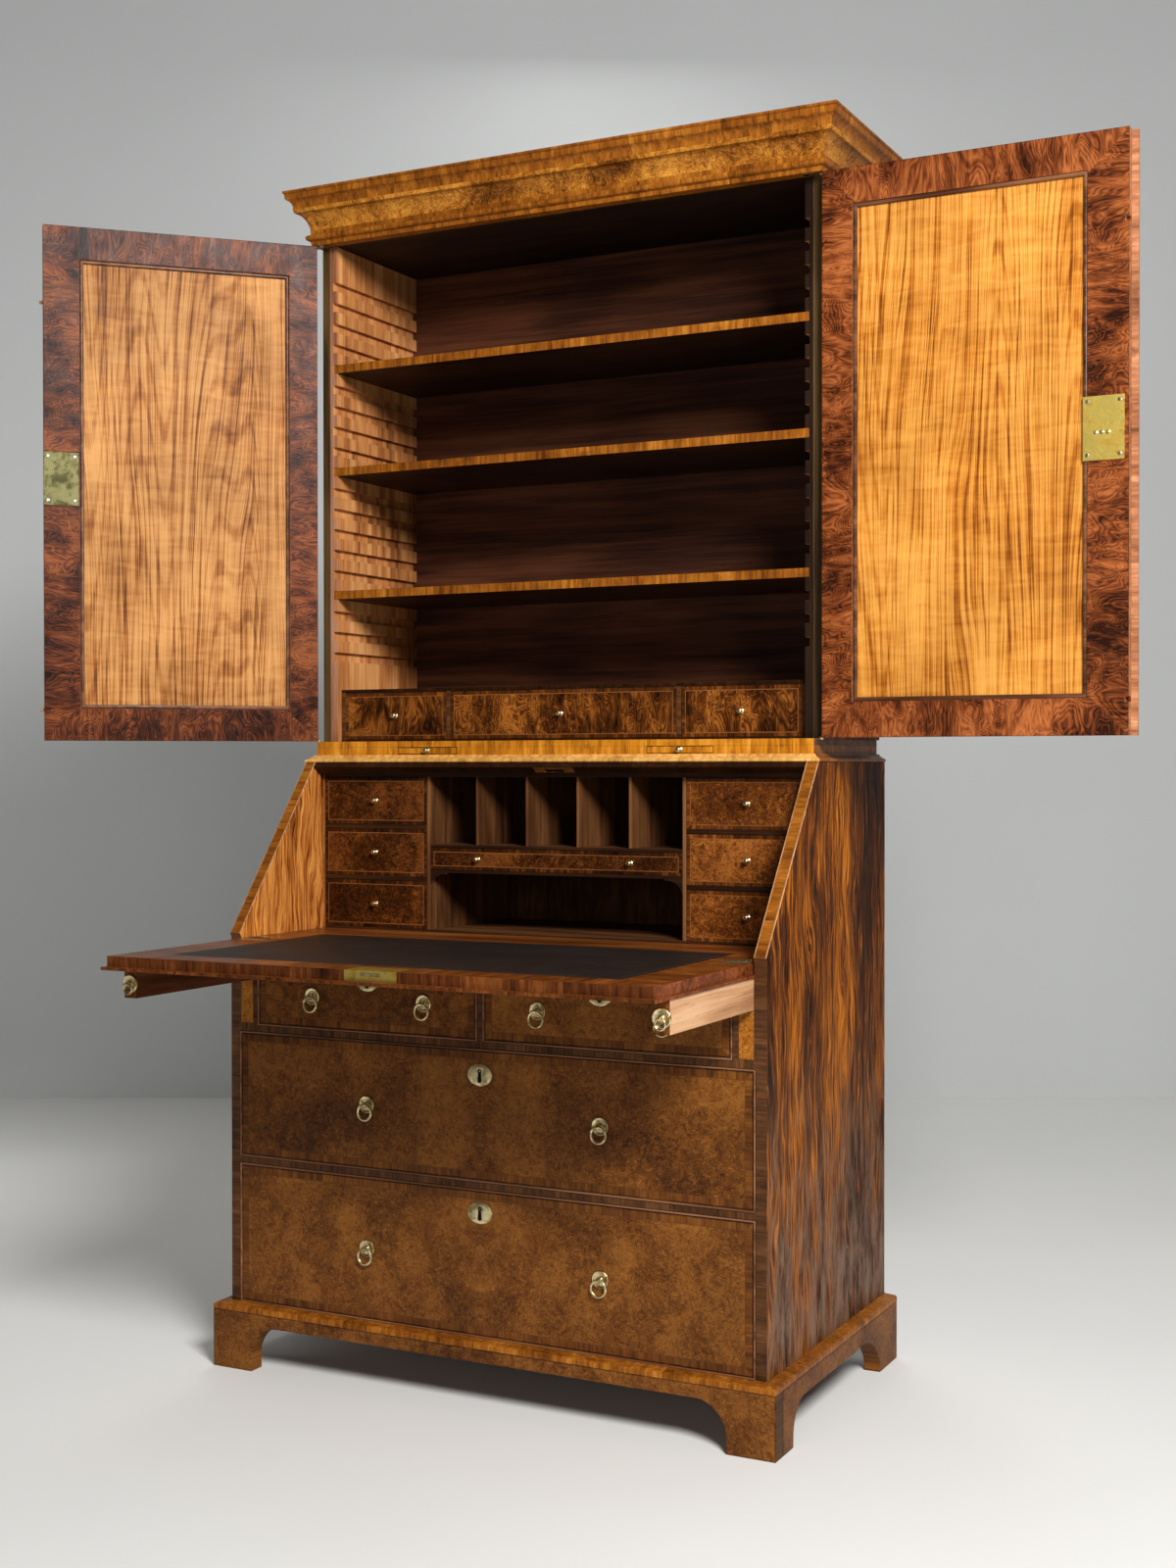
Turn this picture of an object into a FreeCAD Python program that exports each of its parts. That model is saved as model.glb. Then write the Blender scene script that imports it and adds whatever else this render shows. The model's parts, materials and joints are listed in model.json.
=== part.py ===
import FreeCAD, Part
import math
import os
from collections import namedtuple

# Bureau bookcase: a slope-front bureau with a two-door bookcase on it, made as separate pieces.
# Lengths are in millimetres, angles in degrees. X runs to the right, Y to the back, Z up from the floor.
# Pieces are drawn from the middle of the bureau's front face, and saved from the middle of its depth.
# Doors and fall are saved open and the lopers out, which is how the object stands at rest.

# Bureau carcase
CASE_DEPTH = 560.0
SIDE_THICKNESS = 22.0
BOTTOM_THICKNESS = 15.2
BACK_THICKNESS = 12.0
TOP_THICKNESS = 20.0
DUSTBOARD_THICKNESS = 18.0
LOW_OPENING = 237.8
HIGH_OPENING = 213.0
SHORT_OPENING = 107.0
DRAWER_DIVIDER = 16.0
TOP_RAIL_THICKNESS = 17.5
TOP_RAIL_DEPTH = 60.0
DESK_SPACE_HEIGHT = 288.0

# Bracket base
BASE_HEIGHT = 101.0
BASE_OVERHANG = 23.0
BASE_BOARD = 30.0
BASE_MOULDING_HEIGHT = 12.0
FRONT_FOOT_WIDTH = 82.0
FRONT_FOOT_STEP = 26.0
FRONT_ARCH_RUN = 54.0
FRONT_APRON_CLEARANCE = 79.0
SIDE_FOOT_WIDTH = 45.0
SIDE_FOOT_STEP = 18.0
SIDE_ARCH_RUN = 54.0
REAR_FOOT_WIDTH = 93.0
REAR_ARCH_RUN = 115.0
SIDE_APRON_CLEARANCE = 69.0
BASE_PROFILE_SHARES = [(0, 0), (1, 0), (1, 0.34), (0.97, 0.66, 0.8, 0.84), (0, 1)]

# Slope and fall
SLOPE_ANGLE = 52.6
HINGE_SETBACK = 11.0
HINGE_GAP = 0.5
FALL_BODY = 17.0
FALL_LIP = 5.0
FALL_WIDTH = 960.0
FALL_SIDE_GAP = 3.0
FALL_LIP_OVERLAP = 5.5
FALL_REACH = 362.0
FALL_LIP_REACH = 371.0
FALL_SEAT_GAP = 0.3
FALL_STOP_GAP = 1.5
FALL_UNDER_GAP = 0.5
NOSE_PROJECTION = 3.5
NOSE_RETURN = 7.0
LEATHER_SIDE_BORDER = 80.0
LEATHER_FRONT_BORDER = 61.0
LEATHER_THICKNESS = 1.0
LEATHER_INSIDE_REACH = 118.5

# Lopers and their channels
LOPER_THICKNESS = 24.0
LOPER_HEIGHT = 49.0
LOPER_REAR_GAP = 28.0
LOPER_TRAVEL = 306.0
LOPER_GAP = 0.3
LOPER_CHEEK = 13.4
LOPER_PANEL_DEPTH = 40.0
LOPER_RUNNER_HEIGHT = 14.0

# Drawers and their running gaps
BoardSet = namedtuple("BoardSet", "front side bottom lift drop")
MAIN_FRONT = 22.0
MAIN_SIDE = 11.0
MAIN_BOTTOM = 8.0
MAIN_LIFT = 6.0
MAIN_DROP = 8.0
SMALL_FRONT = 12.0
SMALL_SIDE = 6.0
SMALL_BOTTOM = 4.0
SMALL_LIFT = 3.0
SMALL_DROP = 4.0
MAIN_BOARDS = BoardSet(MAIN_FRONT, MAIN_SIDE, MAIN_BOTTOM, MAIN_LIFT, MAIN_DROP)
SMALL_BOARDS = BoardSet(SMALL_FRONT, SMALL_SIDE, SMALL_BOTTOM, SMALL_LIFT, SMALL_DROP)
MAIN_REAR_GAP = 18.0
MAIN_SIDE_GAP = 1.0
MAIN_TOP_GAP = 1.2
SMALL_SIDE_GAP = 0.5
SMALL_TOP_GAP = 0.8
RUN_GAP = 0.3

# Ring pulls, knobs and escutcheons
RING_RADIUS = 13.0
RING_WIRE = 2.1
RING_STANDOFF = 8.0
RING_HOLE_GAP = 0.45
EYE_RADIUS = 4.4
EYE_WIDTH = 4.0
ROSE_RADIUS = 9.5
ROSE_THICKNESS = 2.0
POST_RADIUS = 2.6
LOPER_RING_RADIUS = 8.0
LOPER_RING_WIRE = 1.5
LOPER_RING_STANDOFF = 6.5
LOPER_EYE_RADIUS = 3.4
LOPER_EYE_WIDTH = 3.2
LOPER_ROSE_RADIUS = 7.0
LOPER_ROSE_THICKNESS = 1.5
LOPER_POST_RADIUS = 2.0
KNOB_RADIUS = 5.0
KNOB_LENGTH = 11.0
KNOB_NECK_RADIUS = 2.2
KNOB_ROSE_RADIUS = 5.5
KNOB_ROSE_THICKNESS = 1.2
ESCUTCHEON_WIDTH = 46.0
ESCUTCHEON_HEIGHT = 36.0
ESCUTCHEON_THICKNESS = 1.6
KEYHOLE_RADIUS = 2.6
KEYHOLE_SLOT = 2.8
KEYHOLE_DROP = 9.0
SHORT_RING_SPACING = 224.0
SHORT_RING_CENTRE = 220.0
LONG_RING_SPACING = 442.0
SHORT_RING_DROP = 54.0
HIGH_RING_DROP = 106.0
LOW_RING_DROP = 119.0
HIGH_KEYHOLE_DROP = 40.5
LOW_KEYHOLE_DROP = 36.0
SHORT_KEYHOLE_DROP = 22.0
LOPER_RING_DROP = 26.0

# Pigeonhole case
PIGEON_SETBACK = 252.0
PIGEON_SIDE = 2.7
PIGEON_BASE = 4.0
PIGEON_TOP = 6.7
PIGEON_CENTRE_WIDTH = 501.0
PIGEON_PARTITION = 6.5
PIGEON_SHELF = 7.0
PIGEON_THIN = 5.0
PIGEON_COLUMNS = 5
STACK_DRAWERS = 3
DESK_DRAWER_REAR_GAP = 11.0
WELL_HEIGHT = 104.0
SHALLOW_HEIGHT = 41.0
SPANDREL_RUN = 34.0
SPANDREL_RISE = 26.0
SPANDREL_THICKNESS = 6.0
SPANDREL_EDGE = 3.0
SHALLOW_KNOB_SPACING = 304.0
CASE_REAR_GAP = 1.0

# Bookcase plinth with its candle slides
WAIST_MOULDING_HEIGHT = 13.0
WAIST_PROJECTION = 17.0
WAIST_PROFILE_SHARES = [(0, 0), (0.94, 0), (1, 0.12, 0.97, 0.32), (0.62, 0.55, 0.3, 0.84), (0.3, 1), (0, 1)]
PLINTH_STEP = 15.0
PLINTH_SETBACK = 241.0
PLINTH_RAIL_DEPTH = 35.0
PLINTH_SIDE = 30.0
PLINTH_RAIL_HEIGHT = 27.0
BOOKCASE_FLOOR = 11.0
SLIDE_WIDTH = 124.0
SLIDE_THICKNESS = 12.0
SLIDE_REAR_GAP = 57.0
SLIDE_SPACING = 500.0
SLIDE_GAP = 0.4
SLIDE_BED_OVERHANG = 10.0

# Bookcase carcase
BOOKCASE_STEP = 10.0
BOOKCASE_SETBACK = 269.5
BOOKCASE_HEIGHT = 923.0
BOOKCASE_SIDE = 16.0
BOOKCASE_TOP = 18.0
LINING_THICKNESS = 15.0
GROOVE_COUNT = 19
GROOVE_PITCH = 38.3
GROOVE_HEIGHT = 16.2
GROOVE_DEPTH = 8.0
GROOVE_TOP_DROP = 66.2
SHELF_THICKNESS = 15.4
SHELF_END_GAP = 1.0
SHELF_SETBACK = 1.0
SHELF_GROOVES = {"shelf_top": 4, "shelf_middle": 9, "shelf_bottom": 15}

# Small drawers in the bookcase
BOOK_DRAWER_CASE_HEIGHT = 97.5
BOOK_DRAWER_CASE_SIDE = 9.0
BOOK_DRAWER_CASE_BASE = 3.5
BOOK_DRAWER_CASE_TOP = 6.0
BOOK_DRAWER_DIVIDER = 8.0
BOOK_DRAWER_SETBACK = 13.0
BOOK_DRAWER_SPREAD = 230.0
BOOK_DRAWER_REAR_GAP = 3.0

# Cornice, its profile in shares of its projection and height
CORNICE_STEP = 5.8
CORNICE_SETBACK = 247.0
CORNICE_HEIGHT = 97.0
CORNICE_PROJECTION = 41.0
CORNICE_THICKNESS = 20.0
CORNICE_PROFILE_SHARES = [
    (0, 0), (0.05, 0), (0.08, 0.07), (0.15, 0.09), (0.26, 0.145, 0.09, 0.2),
    (0.16, 0.41, 0.48, 0.59), (0.62, 0.6), (0.66, 0.67), (0.66, 0.72),
    (0.73, 0.79, 0.88, 0.84), (0.92, 0.86), (0.93, 0.94), (1, 0.96), (1, 1), (0, 1)]

# Doors
DOOR_THICKNESS = 20.0
DOOR_CASE_GAP = 1.2
DOOR_FLOOR_GAP = 1.0
DOOR_TOP_GAP = 0.5
DOOR_MEETING_GAP = 1.5
DOOR_EDGE_SETBACK = 2.0
HINGE_STILE = 52.0
MEETING_STILE = 63.0
DOOR_RAIL = 58.0
PANEL_THICKNESS = 8.0
PANEL_TONGUE = 6.0
PANEL_GAP = 0.3
PIVOT_OFFSET = 4.0
KNUCKLE_RADIUS = 3.6
PIVOT_PIN_RADIUS = 1.5
PIN_REACH = 2.7
KNUCKLE_SPLIT = 0.3
KNUCKLE_ROOM = 0.4
PIN_GAP = 0.05
LEAF_THICKNESS = 1.6
LEAF_LENGTH = 32.0
LEAF_WIDTH = 12.0
LEFT_DOOR_OPENING = 135.0
RIGHT_DOOR_OPENING = 180.0
ASTRAGAL_WIDTH = 20.0
ASTRAGAL_OVERLAP = 10.0
ASTRAGAL_THICKNESS = 6.0
ASTRAGAL_GAP = 0.4
PEG_RADIUS = 3.0
PEG_LENGTH = 6.0
PEG_SOCKET_GAP = 1.5
PEG_TOP_DROP = 138.0
PEG_BOTTOM_RISE = 55.0

# Door lock and its keep
DOOR_LOCK_WIDTH = 63.0
DOOR_LOCK_HEIGHT = 98.0
DOOR_LOCK_RISE = 420.0
LOCK_PLATE = 2.0
LOCK_CASE_DEPTH = 12.0
LOCK_CASE_INSET = 8.0
DOOR_LOCK_EDGE = 7.0
DOOR_BOLT_HEIGHT = 22.0
DOOR_BOLT_THICKNESS = 6.0
DOOR_BOLT_LENGTH = 34.0
DOOR_BOLT_THROW = 8.0
BOLT_GAP = 0.3
BOLT_POCKET_GAP = 1.5
KEEP_WIDTH = 61.0
KEEP_HEIGHT = 95.0

# Fall lock, its keep and the fall's hinges
FALL_LOCK_X = 18.0
FALL_LOCK_WIDTH = 92.0
FALL_LOCK_REACH = 44.0
FALL_LOCK_PLATE = 1.6
FALL_LOCK_CASE = 9.0
FALL_LOCK_INSET = 10.0
FALL_BOLT_WIDTH = 34.0
FALL_BOLT_THICKNESS = 4.0
FALL_BOLT_LENGTH = 24.0
FALL_BOLT_THROW = 7.0
FALL_KEEP_WIDTH = 78.0
FALL_KEEP_THICKNESS = 1.5
FALL_KEEP_EDGE = 1.5
FALL_HINGE_INSET = 28.0
FALL_HINGE_WIDTH = 45.0
FALL_HINGE_LEAF = 35.0
FALL_HINGE_THICKNESS = 1.5
FALL_KNUCKLE_RADIUS = 2.8
FALL_KNUCKLE_ROOM = 0.4
FALL_PIN_RADIUS = 1.2
FALL_KNUCKLES = 5
KNUCKLE_END_GAP = 0.3

# One overrun serves all cuts
OVERRUN = 5.0
RIGHT_ANGLE = 90.0

# Levels and planes worked out from the sizes
HALF_FALL = FALL_WIDTH / 2
INNER_CASE = HALF_FALL + FALL_SIDE_GAP
HALF_CASE = INNER_CASE + SIDE_THICKNESS
REAR = CASE_DEPTH
BACK_FACE = CASE_DEPTH - BACK_THICKNESS
Z_LOW = BASE_HEIGHT + BOTTOM_THICKNESS
Z_LOW_TOP = Z_LOW + LOW_OPENING
Z_HIGH = Z_LOW_TOP + DUSTBOARD_THICKNESS
Z_HIGH_TOP = Z_HIGH + HIGH_OPENING
Z_SHORT = Z_HIGH_TOP + DUSTBOARD_THICKNESS
Z_SHORT_TOP = Z_SHORT + SHORT_OPENING
Z_RAIL_TOP = Z_SHORT_TOP + TOP_RAIL_THICKNESS
Z_FALL_UNDER = Z_RAIL_TOP + FALL_UNDER_GAP
Z_DESK = Z_FALL_UNDER + FALL_BODY + FALL_LIP
Z_TOP_UNDER = Z_DESK + DESK_SPACE_HEIGHT
Z_CASE_TOP = Z_TOP_UNDER + TOP_THICKNESS
Z_PLINTH_TOP = Z_CASE_TOP + PLINTH_RAIL_HEIGHT
Z_BOOK_FLOOR = Z_PLINTH_TOP + BOOKCASE_FLOOR
Z_BOOK_TOP = Z_BOOK_FLOOR + BOOKCASE_HEIGHT
HALF_LEATHER = HALF_FALL - LEATHER_SIDE_BORDER
FALL_HINGE_X = HALF_FALL - FALL_HINGE_INSET
HALF_BOOKCASE = HALF_CASE - BOOKCASE_STEP
HALF_PLINTH = HALF_CASE - PLINTH_STEP
HALF_CORNICE = HALF_BOOKCASE + CORNICE_STEP
INNER_BOOKCASE = HALF_BOOKCASE - BOOKCASE_SIDE
INNER_LINING = INNER_BOOKCASE - LINING_THICKNESS
DOOR_REAR = BOOKCASE_SETBACK - DOOR_CASE_GAP
DOOR_FRONT = DOOR_REAR - DOOR_THICKNESS
DOOR_EDGE = HALF_BOOKCASE - DOOR_EDGE_SETBACK
PIVOT_X = DOOR_EDGE + PIVOT_OFFSET
PIVOT_Y = DOOR_REAR - DOOR_THICKNESS / 2
Z_DOOR = Z_BOOK_FLOOR + DOOR_FLOOR_GAP
Z_DOOR_TOP = Z_BOOK_TOP - DOOR_TOP_GAP
MAIN_DRAWER_DEPTH = BACK_FACE - MAIN_REAR_GAP
DESK_DRAWER_DEPTH = BACK_FACE - PIGEON_SETBACK - DESK_DRAWER_REAR_GAP
BOOK_DRAWER_FRONT = BOOKCASE_SETBACK + BOOK_DRAWER_SETBACK
BOOK_DRAWER_DEPTH = BACK_FACE - BOOK_DRAWER_FRONT - BOOK_DRAWER_REAR_GAP
SLIDE_REAR = BACK_FACE - SLIDE_REAR_GAP
LOPER_LENGTH = BACK_FACE - LOPER_REAR_GAP
LOPER_OUTER = INNER_CASE - LOPER_GAP
LOPER_INNER = LOPER_OUTER - LOPER_THICKNESS
CHEEK_OUTER = LOPER_INNER - LOPER_GAP
CHEEK_INNER = CHEEK_OUTER - LOPER_CHEEK
Z_LOPER = Z_RAIL_TOP - LOPER_HEIGHT
Z_LOPER_BED = Z_LOPER - LOPER_GAP
PIGEON_HALF = PIGEON_CENTRE_WIDTH / 2
PIGEON_OUTER = INNER_CASE - PIGEON_SIDE
PIGEON_REAR = BACK_FACE - CASE_REAR_GAP
Z_PIGEON = Z_DESK + PIGEON_BASE
Z_PIGEON_TOP = Z_TOP_UNDER - PIGEON_TOP
Z_WELL_TOP = Z_PIGEON + WELL_HEIGHT
Z_SHALLOW = Z_WELL_TOP + PIGEON_THIN
Z_SHALLOW_TOP = Z_SHALLOW + SHALLOW_HEIGHT
Z_HOLES = Z_SHALLOW_TOP + PIGEON_THIN
STACK_OPENING = (Z_PIGEON_TOP - Z_PIGEON - PIGEON_SHELF * (STACK_DRAWERS - 1)) / STACK_DRAWERS


def vector(x, y, z):
    return FreeCAD.Vector(x, y, z)


ORIGIN = vector(0, 0, 0)
ACROSS = vector(1, 0, 0)
BACKWARD = vector(0, 1, 0)
UPWARD = vector(0, 0, 1)


# Basic shapes

def block(x, y, z):
    return Part.makeBox(x[1] - x[0], y[1] - y[0], z[1] - z[0], vector(x[0], y[0], z[0]))


def rod(centre, axis, radius, length):
    return Part.makeCylinder(radius, length, centre, axis)


def outline_face(points, place):
    """A face from points of two values, or of four where an arc passes through the first two."""
    edges = []
    last = place(*points[0])
    for point in points[1:] + points[:1]:
        end = place(*point[-2:])
        if len(point) > 2:
            edges.append(Part.Arc(last, place(*point[:2]), end).toShape())
        else:
            edges.append(Part.LineSegment(last, end).toShape())
        last = end
    return Part.Face(Part.Wire(edges))


def prism_along_x(points, x):
    face = outline_face(points, lambda y, z: vector(x[0], y, z))
    return face.extrude(ACROSS * (x[1] - x[0]))


def prism_along_y(points, y):
    face = outline_face(points, lambda x, z: vector(x, y[0], z))
    return face.extrude(BACKWARD * (y[1] - y[0]))


def prism_along_z(points, z):
    face = outline_face(points, lambda x, y: vector(x, y, z[0]))
    return face.extrude(UPWARD * (z[1] - z[0]))


def mirrored(shape):
    return shape.mirror(ORIGIN, ACROSS)


def with_mirror(shape):
    return [shape, mirrored(shape)]


def turned(shape, centre, axis, angle):
    copy = shape.copy()
    copy.rotate(centre, axis, angle)
    return copy


def moved(shape, x, y, z):
    copy = shape.copy()
    copy.translate(vector(x, y, z))
    return copy


def save(node, solids):
    shape = Part.makeCompound(solids)
    shape.translate(vector(0, -CASE_DEPTH / 2, 0))
    shape.exportStep("parts/" + node + ".step")


def mitred_moulding(shares, half_width, front, rear, bottom, projection, height, thickness):
    """Front and two returns of a moulding round a case, mitred at the front corners."""
    profile = [tuple(value * size for value, size in zip(point, (projection, height) * 2))
               for point in shares]
    if thickness:
        profile = [(-thickness, 0)] + profile[1:-1] + [(-thickness, height)]
    outer = half_width + projection
    inner = half_width - thickness
    reach = projection + thickness

    def flipped(point, offset, sign):
        values = list(point)
        for index in range(0, len(values), 2):
            values[index] = offset + sign * values[index]
            values[index + 1] = bottom + values[index + 1]
        return tuple(values)

    front_run = prism_along_x([flipped(point, front, -1) for point in profile], (-outer, outer))
    side_run = prism_along_y([flipped(point, half_width, 1) for point in profile],
                             (front - reach, rear))
    levels = (bottom - OVERRUN, bottom + height + OVERRUN)
    front_wedge = prism_along_z([
        (-outer, front - projection), (outer, front - projection),
        (inner, front + thickness), (-inner, front + thickness)], levels)
    side_wedge = prism_along_z([
        (outer, front - projection), (outer, rear),
        (inner, rear), (inner, front + thickness)], levels)
    return [front_run.common(front_wedge)] + with_mirror(side_run.common(side_wedge))


# Drawers and their fittings

def knob(x, front, z):
    rose = rod(vector(x, front, z), -BACKWARD, KNOB_ROSE_RADIUS, KNOB_ROSE_THICKNESS)
    neck = rod(vector(x, front, z), -BACKWARD, KNOB_NECK_RADIUS, KNOB_LENGTH - KNOB_RADIUS)
    ball = Part.makeSphere(KNOB_RADIUS, vector(x, front - KNOB_LENGTH + KNOB_RADIUS, z))
    return rose.fuse([neck, ball]).removeSplitter()


def escutcheon(x, front, z):
    oval = Part.Ellipse(ORIGIN, ESCUTCHEON_WIDTH / 2, ESCUTCHEON_HEIGHT / 2)
    plate = Part.Face(Part.Wire([oval.toShape()]))
    plate = turned(plate.extrude(UPWARD * ESCUTCHEON_THICKNESS), ORIGIN, ACROSS, RIGHT_ANGLE)
    plate = moved(plate, x, front, z)
    cut = (front - ESCUTCHEON_THICKNESS - OVERRUN, front + OVERRUN)
    hole = rod(vector(x, cut[0], z), BACKWARD, KEYHOLE_RADIUS, cut[1] - cut[0])
    slot = block((x - KEYHOLE_SLOT / 2, x + KEYHOLE_SLOT / 2), cut, (z - KEYHOLE_DROP, z))
    return plate.cut(hole.fuse(slot))


def pull_mount(x, front, z):
    """Rose, post and eye of a ring pull, whose ring turns in the eye at height z."""
    centre = vector(x, front - RING_STANDOFF, z)
    rose = rod(vector(x, front, z), -BACKWARD, ROSE_RADIUS, ROSE_THICKNESS)
    post = rod(vector(x, front, z), -BACKWARD, POST_RADIUS, RING_STANDOFF)
    eye = rod(centre - ACROSS * (EYE_WIDTH / 2), ACROSS, EYE_RADIUS, EYE_WIDTH)
    hole = rod(centre - ACROSS * EYE_WIDTH, ACROSS, RING_WIRE + RING_HOLE_GAP, EYE_WIDTH * 2)
    return rose.fuse([post, eye]).cut(hole).removeSplitter()


def pull_ring(x, front, z):
    centre = vector(x, front - RING_STANDOFF, z - RING_RADIUS)
    return Part.makeTorus(RING_RADIUS, RING_WIRE, centre, BACKWARD)


def loper_mount(x, front, z):
    centre = vector(x, front - LOPER_RING_STANDOFF, z)
    rose = rod(vector(x, front, z), -BACKWARD, LOPER_ROSE_RADIUS, LOPER_ROSE_THICKNESS)
    post = rod(vector(x, front, z), -BACKWARD, LOPER_POST_RADIUS, LOPER_RING_STANDOFF)
    eye = rod(centre - ACROSS * (LOPER_EYE_WIDTH / 2), ACROSS, LOPER_EYE_RADIUS, LOPER_EYE_WIDTH)
    hole = rod(centre - ACROSS * LOPER_EYE_WIDTH, ACROSS, LOPER_RING_WIRE + RING_HOLE_GAP,
               LOPER_EYE_WIDTH * 2)
    return rose.fuse([post, eye]).cut(hole).removeSplitter()


def loper_ring(x, front, z):
    centre = vector(x, front - LOPER_RING_STANDOFF, z - LOPER_RING_RADIUS)
    return Part.makeTorus(LOPER_RING_RADIUS, LOPER_RING_WIRE, centre, BACKWARD)


def drawer(x, z, front, depth, boards, side_gap, top_gap):
    """Front, sides, back and bottom of a drawer that fills the opening x by z."""
    left = x[0] + side_gap
    right = x[1] - side_gap
    bottom = z[0] + RUN_GAP
    top = z[1] - top_gap
    rear = front + depth
    inside = (left + boards.side, right - boards.side)
    box_front = front + boards.front
    box_rear = rear - boards.side
    side_levels = (bottom, top - boards.drop)
    panel = (bottom + boards.lift, bottom + boards.lift + boards.bottom)
    return [
        block((left, right), (front, box_front), (bottom, top)),
        block((left, inside[0]), (box_front, rear), side_levels),
        block((inside[1], right), (box_front, rear), side_levels),
        block(inside, (box_rear, rear), side_levels),
        block(inside, (box_front, box_rear), panel),
    ]


# Bracket base

def bracket_points(start, end, top, first, last, clearance):
    """Outline of a bracket board whose two feet are given as (width, step, arch run)."""
    bend = math.sin(math.radians(RIGHT_ANGLE / 2))
    near = start + first[0]
    far = end - last[0]
    return [
        (start, 0), (start, top), (end, top), (end, 0), (far, 0), (far, last[1]),
        (far - last[2] * (1 - bend), last[1] + (clearance - last[1]) * bend, far - last[2], clearance),
        (near + first[2], clearance),
        (near + first[2] * (1 - bend), first[1] + (clearance - first[1]) * bend, near, first[1]),
        (near, 0)]


def bracket_base_front():
    half = HALF_CASE + BASE_OVERHANG
    foot = (FRONT_FOOT_WIDTH, FRONT_FOOT_STEP, FRONT_ARCH_RUN)
    points = bracket_points(-half, half, BASE_HEIGHT, foot, foot, FRONT_APRON_CLEARANCE)
    save("bracket_base_front", [prism_along_y(points, (-BASE_OVERHANG, BASE_BOARD - BASE_OVERHANG))])


def bracket_base_sides():
    start = BASE_BOARD - BASE_OVERHANG
    front_foot = (SIDE_FOOT_WIDTH, SIDE_FOOT_STEP, SIDE_ARCH_RUN)
    rear_foot = (REAR_FOOT_WIDTH, SIDE_FOOT_STEP, REAR_ARCH_RUN)
    points = bracket_points(start, REAR, BASE_HEIGHT, front_foot, rear_foot, SIDE_APRON_CLEARANCE)
    outer = HALF_CASE + BASE_OVERHANG
    save("bracket_base_sides", with_mirror(prism_along_x(points, (outer - BASE_BOARD, outer))))


def base_moulding():
    save("base_moulding", mitred_moulding(
        BASE_PROFILE_SHARES, HALF_CASE, 0, REAR, BASE_HEIGHT, BASE_OVERHANG, BASE_MOULDING_HEIGHT, 0))


# Bureau carcase

def on_closed_fall(reach, depth):
    """Place (Y, Z) on the closed fall, by reach from its hinge and depth outward from its inner face."""
    slope = math.radians(SLOPE_ANGLE)
    return (HINGE_SETBACK + reach * math.cos(slope) - depth * math.sin(slope),
            Z_DESK + reach * math.sin(slope) + depth * math.cos(slope))


def closed_fall_turn(shape):
    """Turn a shape drawn on the open fall to where it lies with the fall closed."""
    return turned(shape, vector(0, HINGE_SETBACK, Z_DESK), ACROSS, SLOPE_ANGLE - RIGHT_ANGLE * 2)


def slope_points(depth):
    """Foot and head of the carcase's slope, which the fall's lip covers."""
    slope = math.radians(SLOPE_ANGLE)
    foot = (depth * math.sin(slope) - HINGE_SETBACK - NOSE_PROJECTION) / math.cos(slope)
    head = (Z_CASE_TOP - Z_DESK - depth * math.cos(slope)) / math.sin(slope)
    return on_closed_fall(foot, depth), on_closed_fall(head, depth)


def bureau_sides():
    foot, head = slope_points(FALL_BODY - FALL_SEAT_GAP)
    points = [(0, BASE_HEIGHT), (REAR, BASE_HEIGHT), (REAR, Z_CASE_TOP), head, foot,
              (0, foot[1] - NOSE_RETURN)]
    side = prism_along_x(points, (INNER_CASE, HALF_CASE))
    save("bureau_side_right", [side])
    save("bureau_side_left", [mirrored(side)])


def bureau_boards():
    across = (-INNER_CASE, INNER_CASE)
    save("bureau_bottom", [block(across, (0, BACK_FACE), (BASE_HEIGHT, Z_LOW))])
    save("bureau_back", [block(across, (BACK_FACE, REAR), (BASE_HEIGHT, Z_CASE_TOP))])


def bureau_top():
    head = slope_points(FALL_BODY - FALL_SEAT_GAP)[1]
    stop = FALL_REACH + FALL_STOP_GAP
    inner = on_closed_fall(stop, 0)
    outer = on_closed_fall(stop, FALL_BODY - FALL_SEAT_GAP)
    points = [inner, outer, head, (BACK_FACE, Z_CASE_TOP), (BACK_FACE, Z_TOP_UNDER),
              (inner[0], Z_TOP_UNDER)]
    board = prism_along_x(points, (-INNER_CASE, INNER_CASE))
    save("bureau_top", [board.cut(fall_keep_shape(False)).cut(fall_keep_pocket())])


def desk_floor():
    front = HINGE_SETBACK + HINGE_GAP
    board = block((-INNER_CASE, INNER_CASE), (front, BACK_FACE), (Z_FALL_UNDER, Z_DESK))
    skin = block((-HALF_LEATHER, HALF_LEATHER), (front, HINGE_SETBACK + LEATHER_INSIDE_REACH),
                 (Z_DESK - LEATHER_THICKNESS, Z_DESK))
    recess = fall_hinge_recess(HINGE_SETBACK, HINGE_SETBACK + FALL_HINGE_LEAF)
    save("desk_floor", [board.cut(skin).cut(recess), skin])


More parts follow.
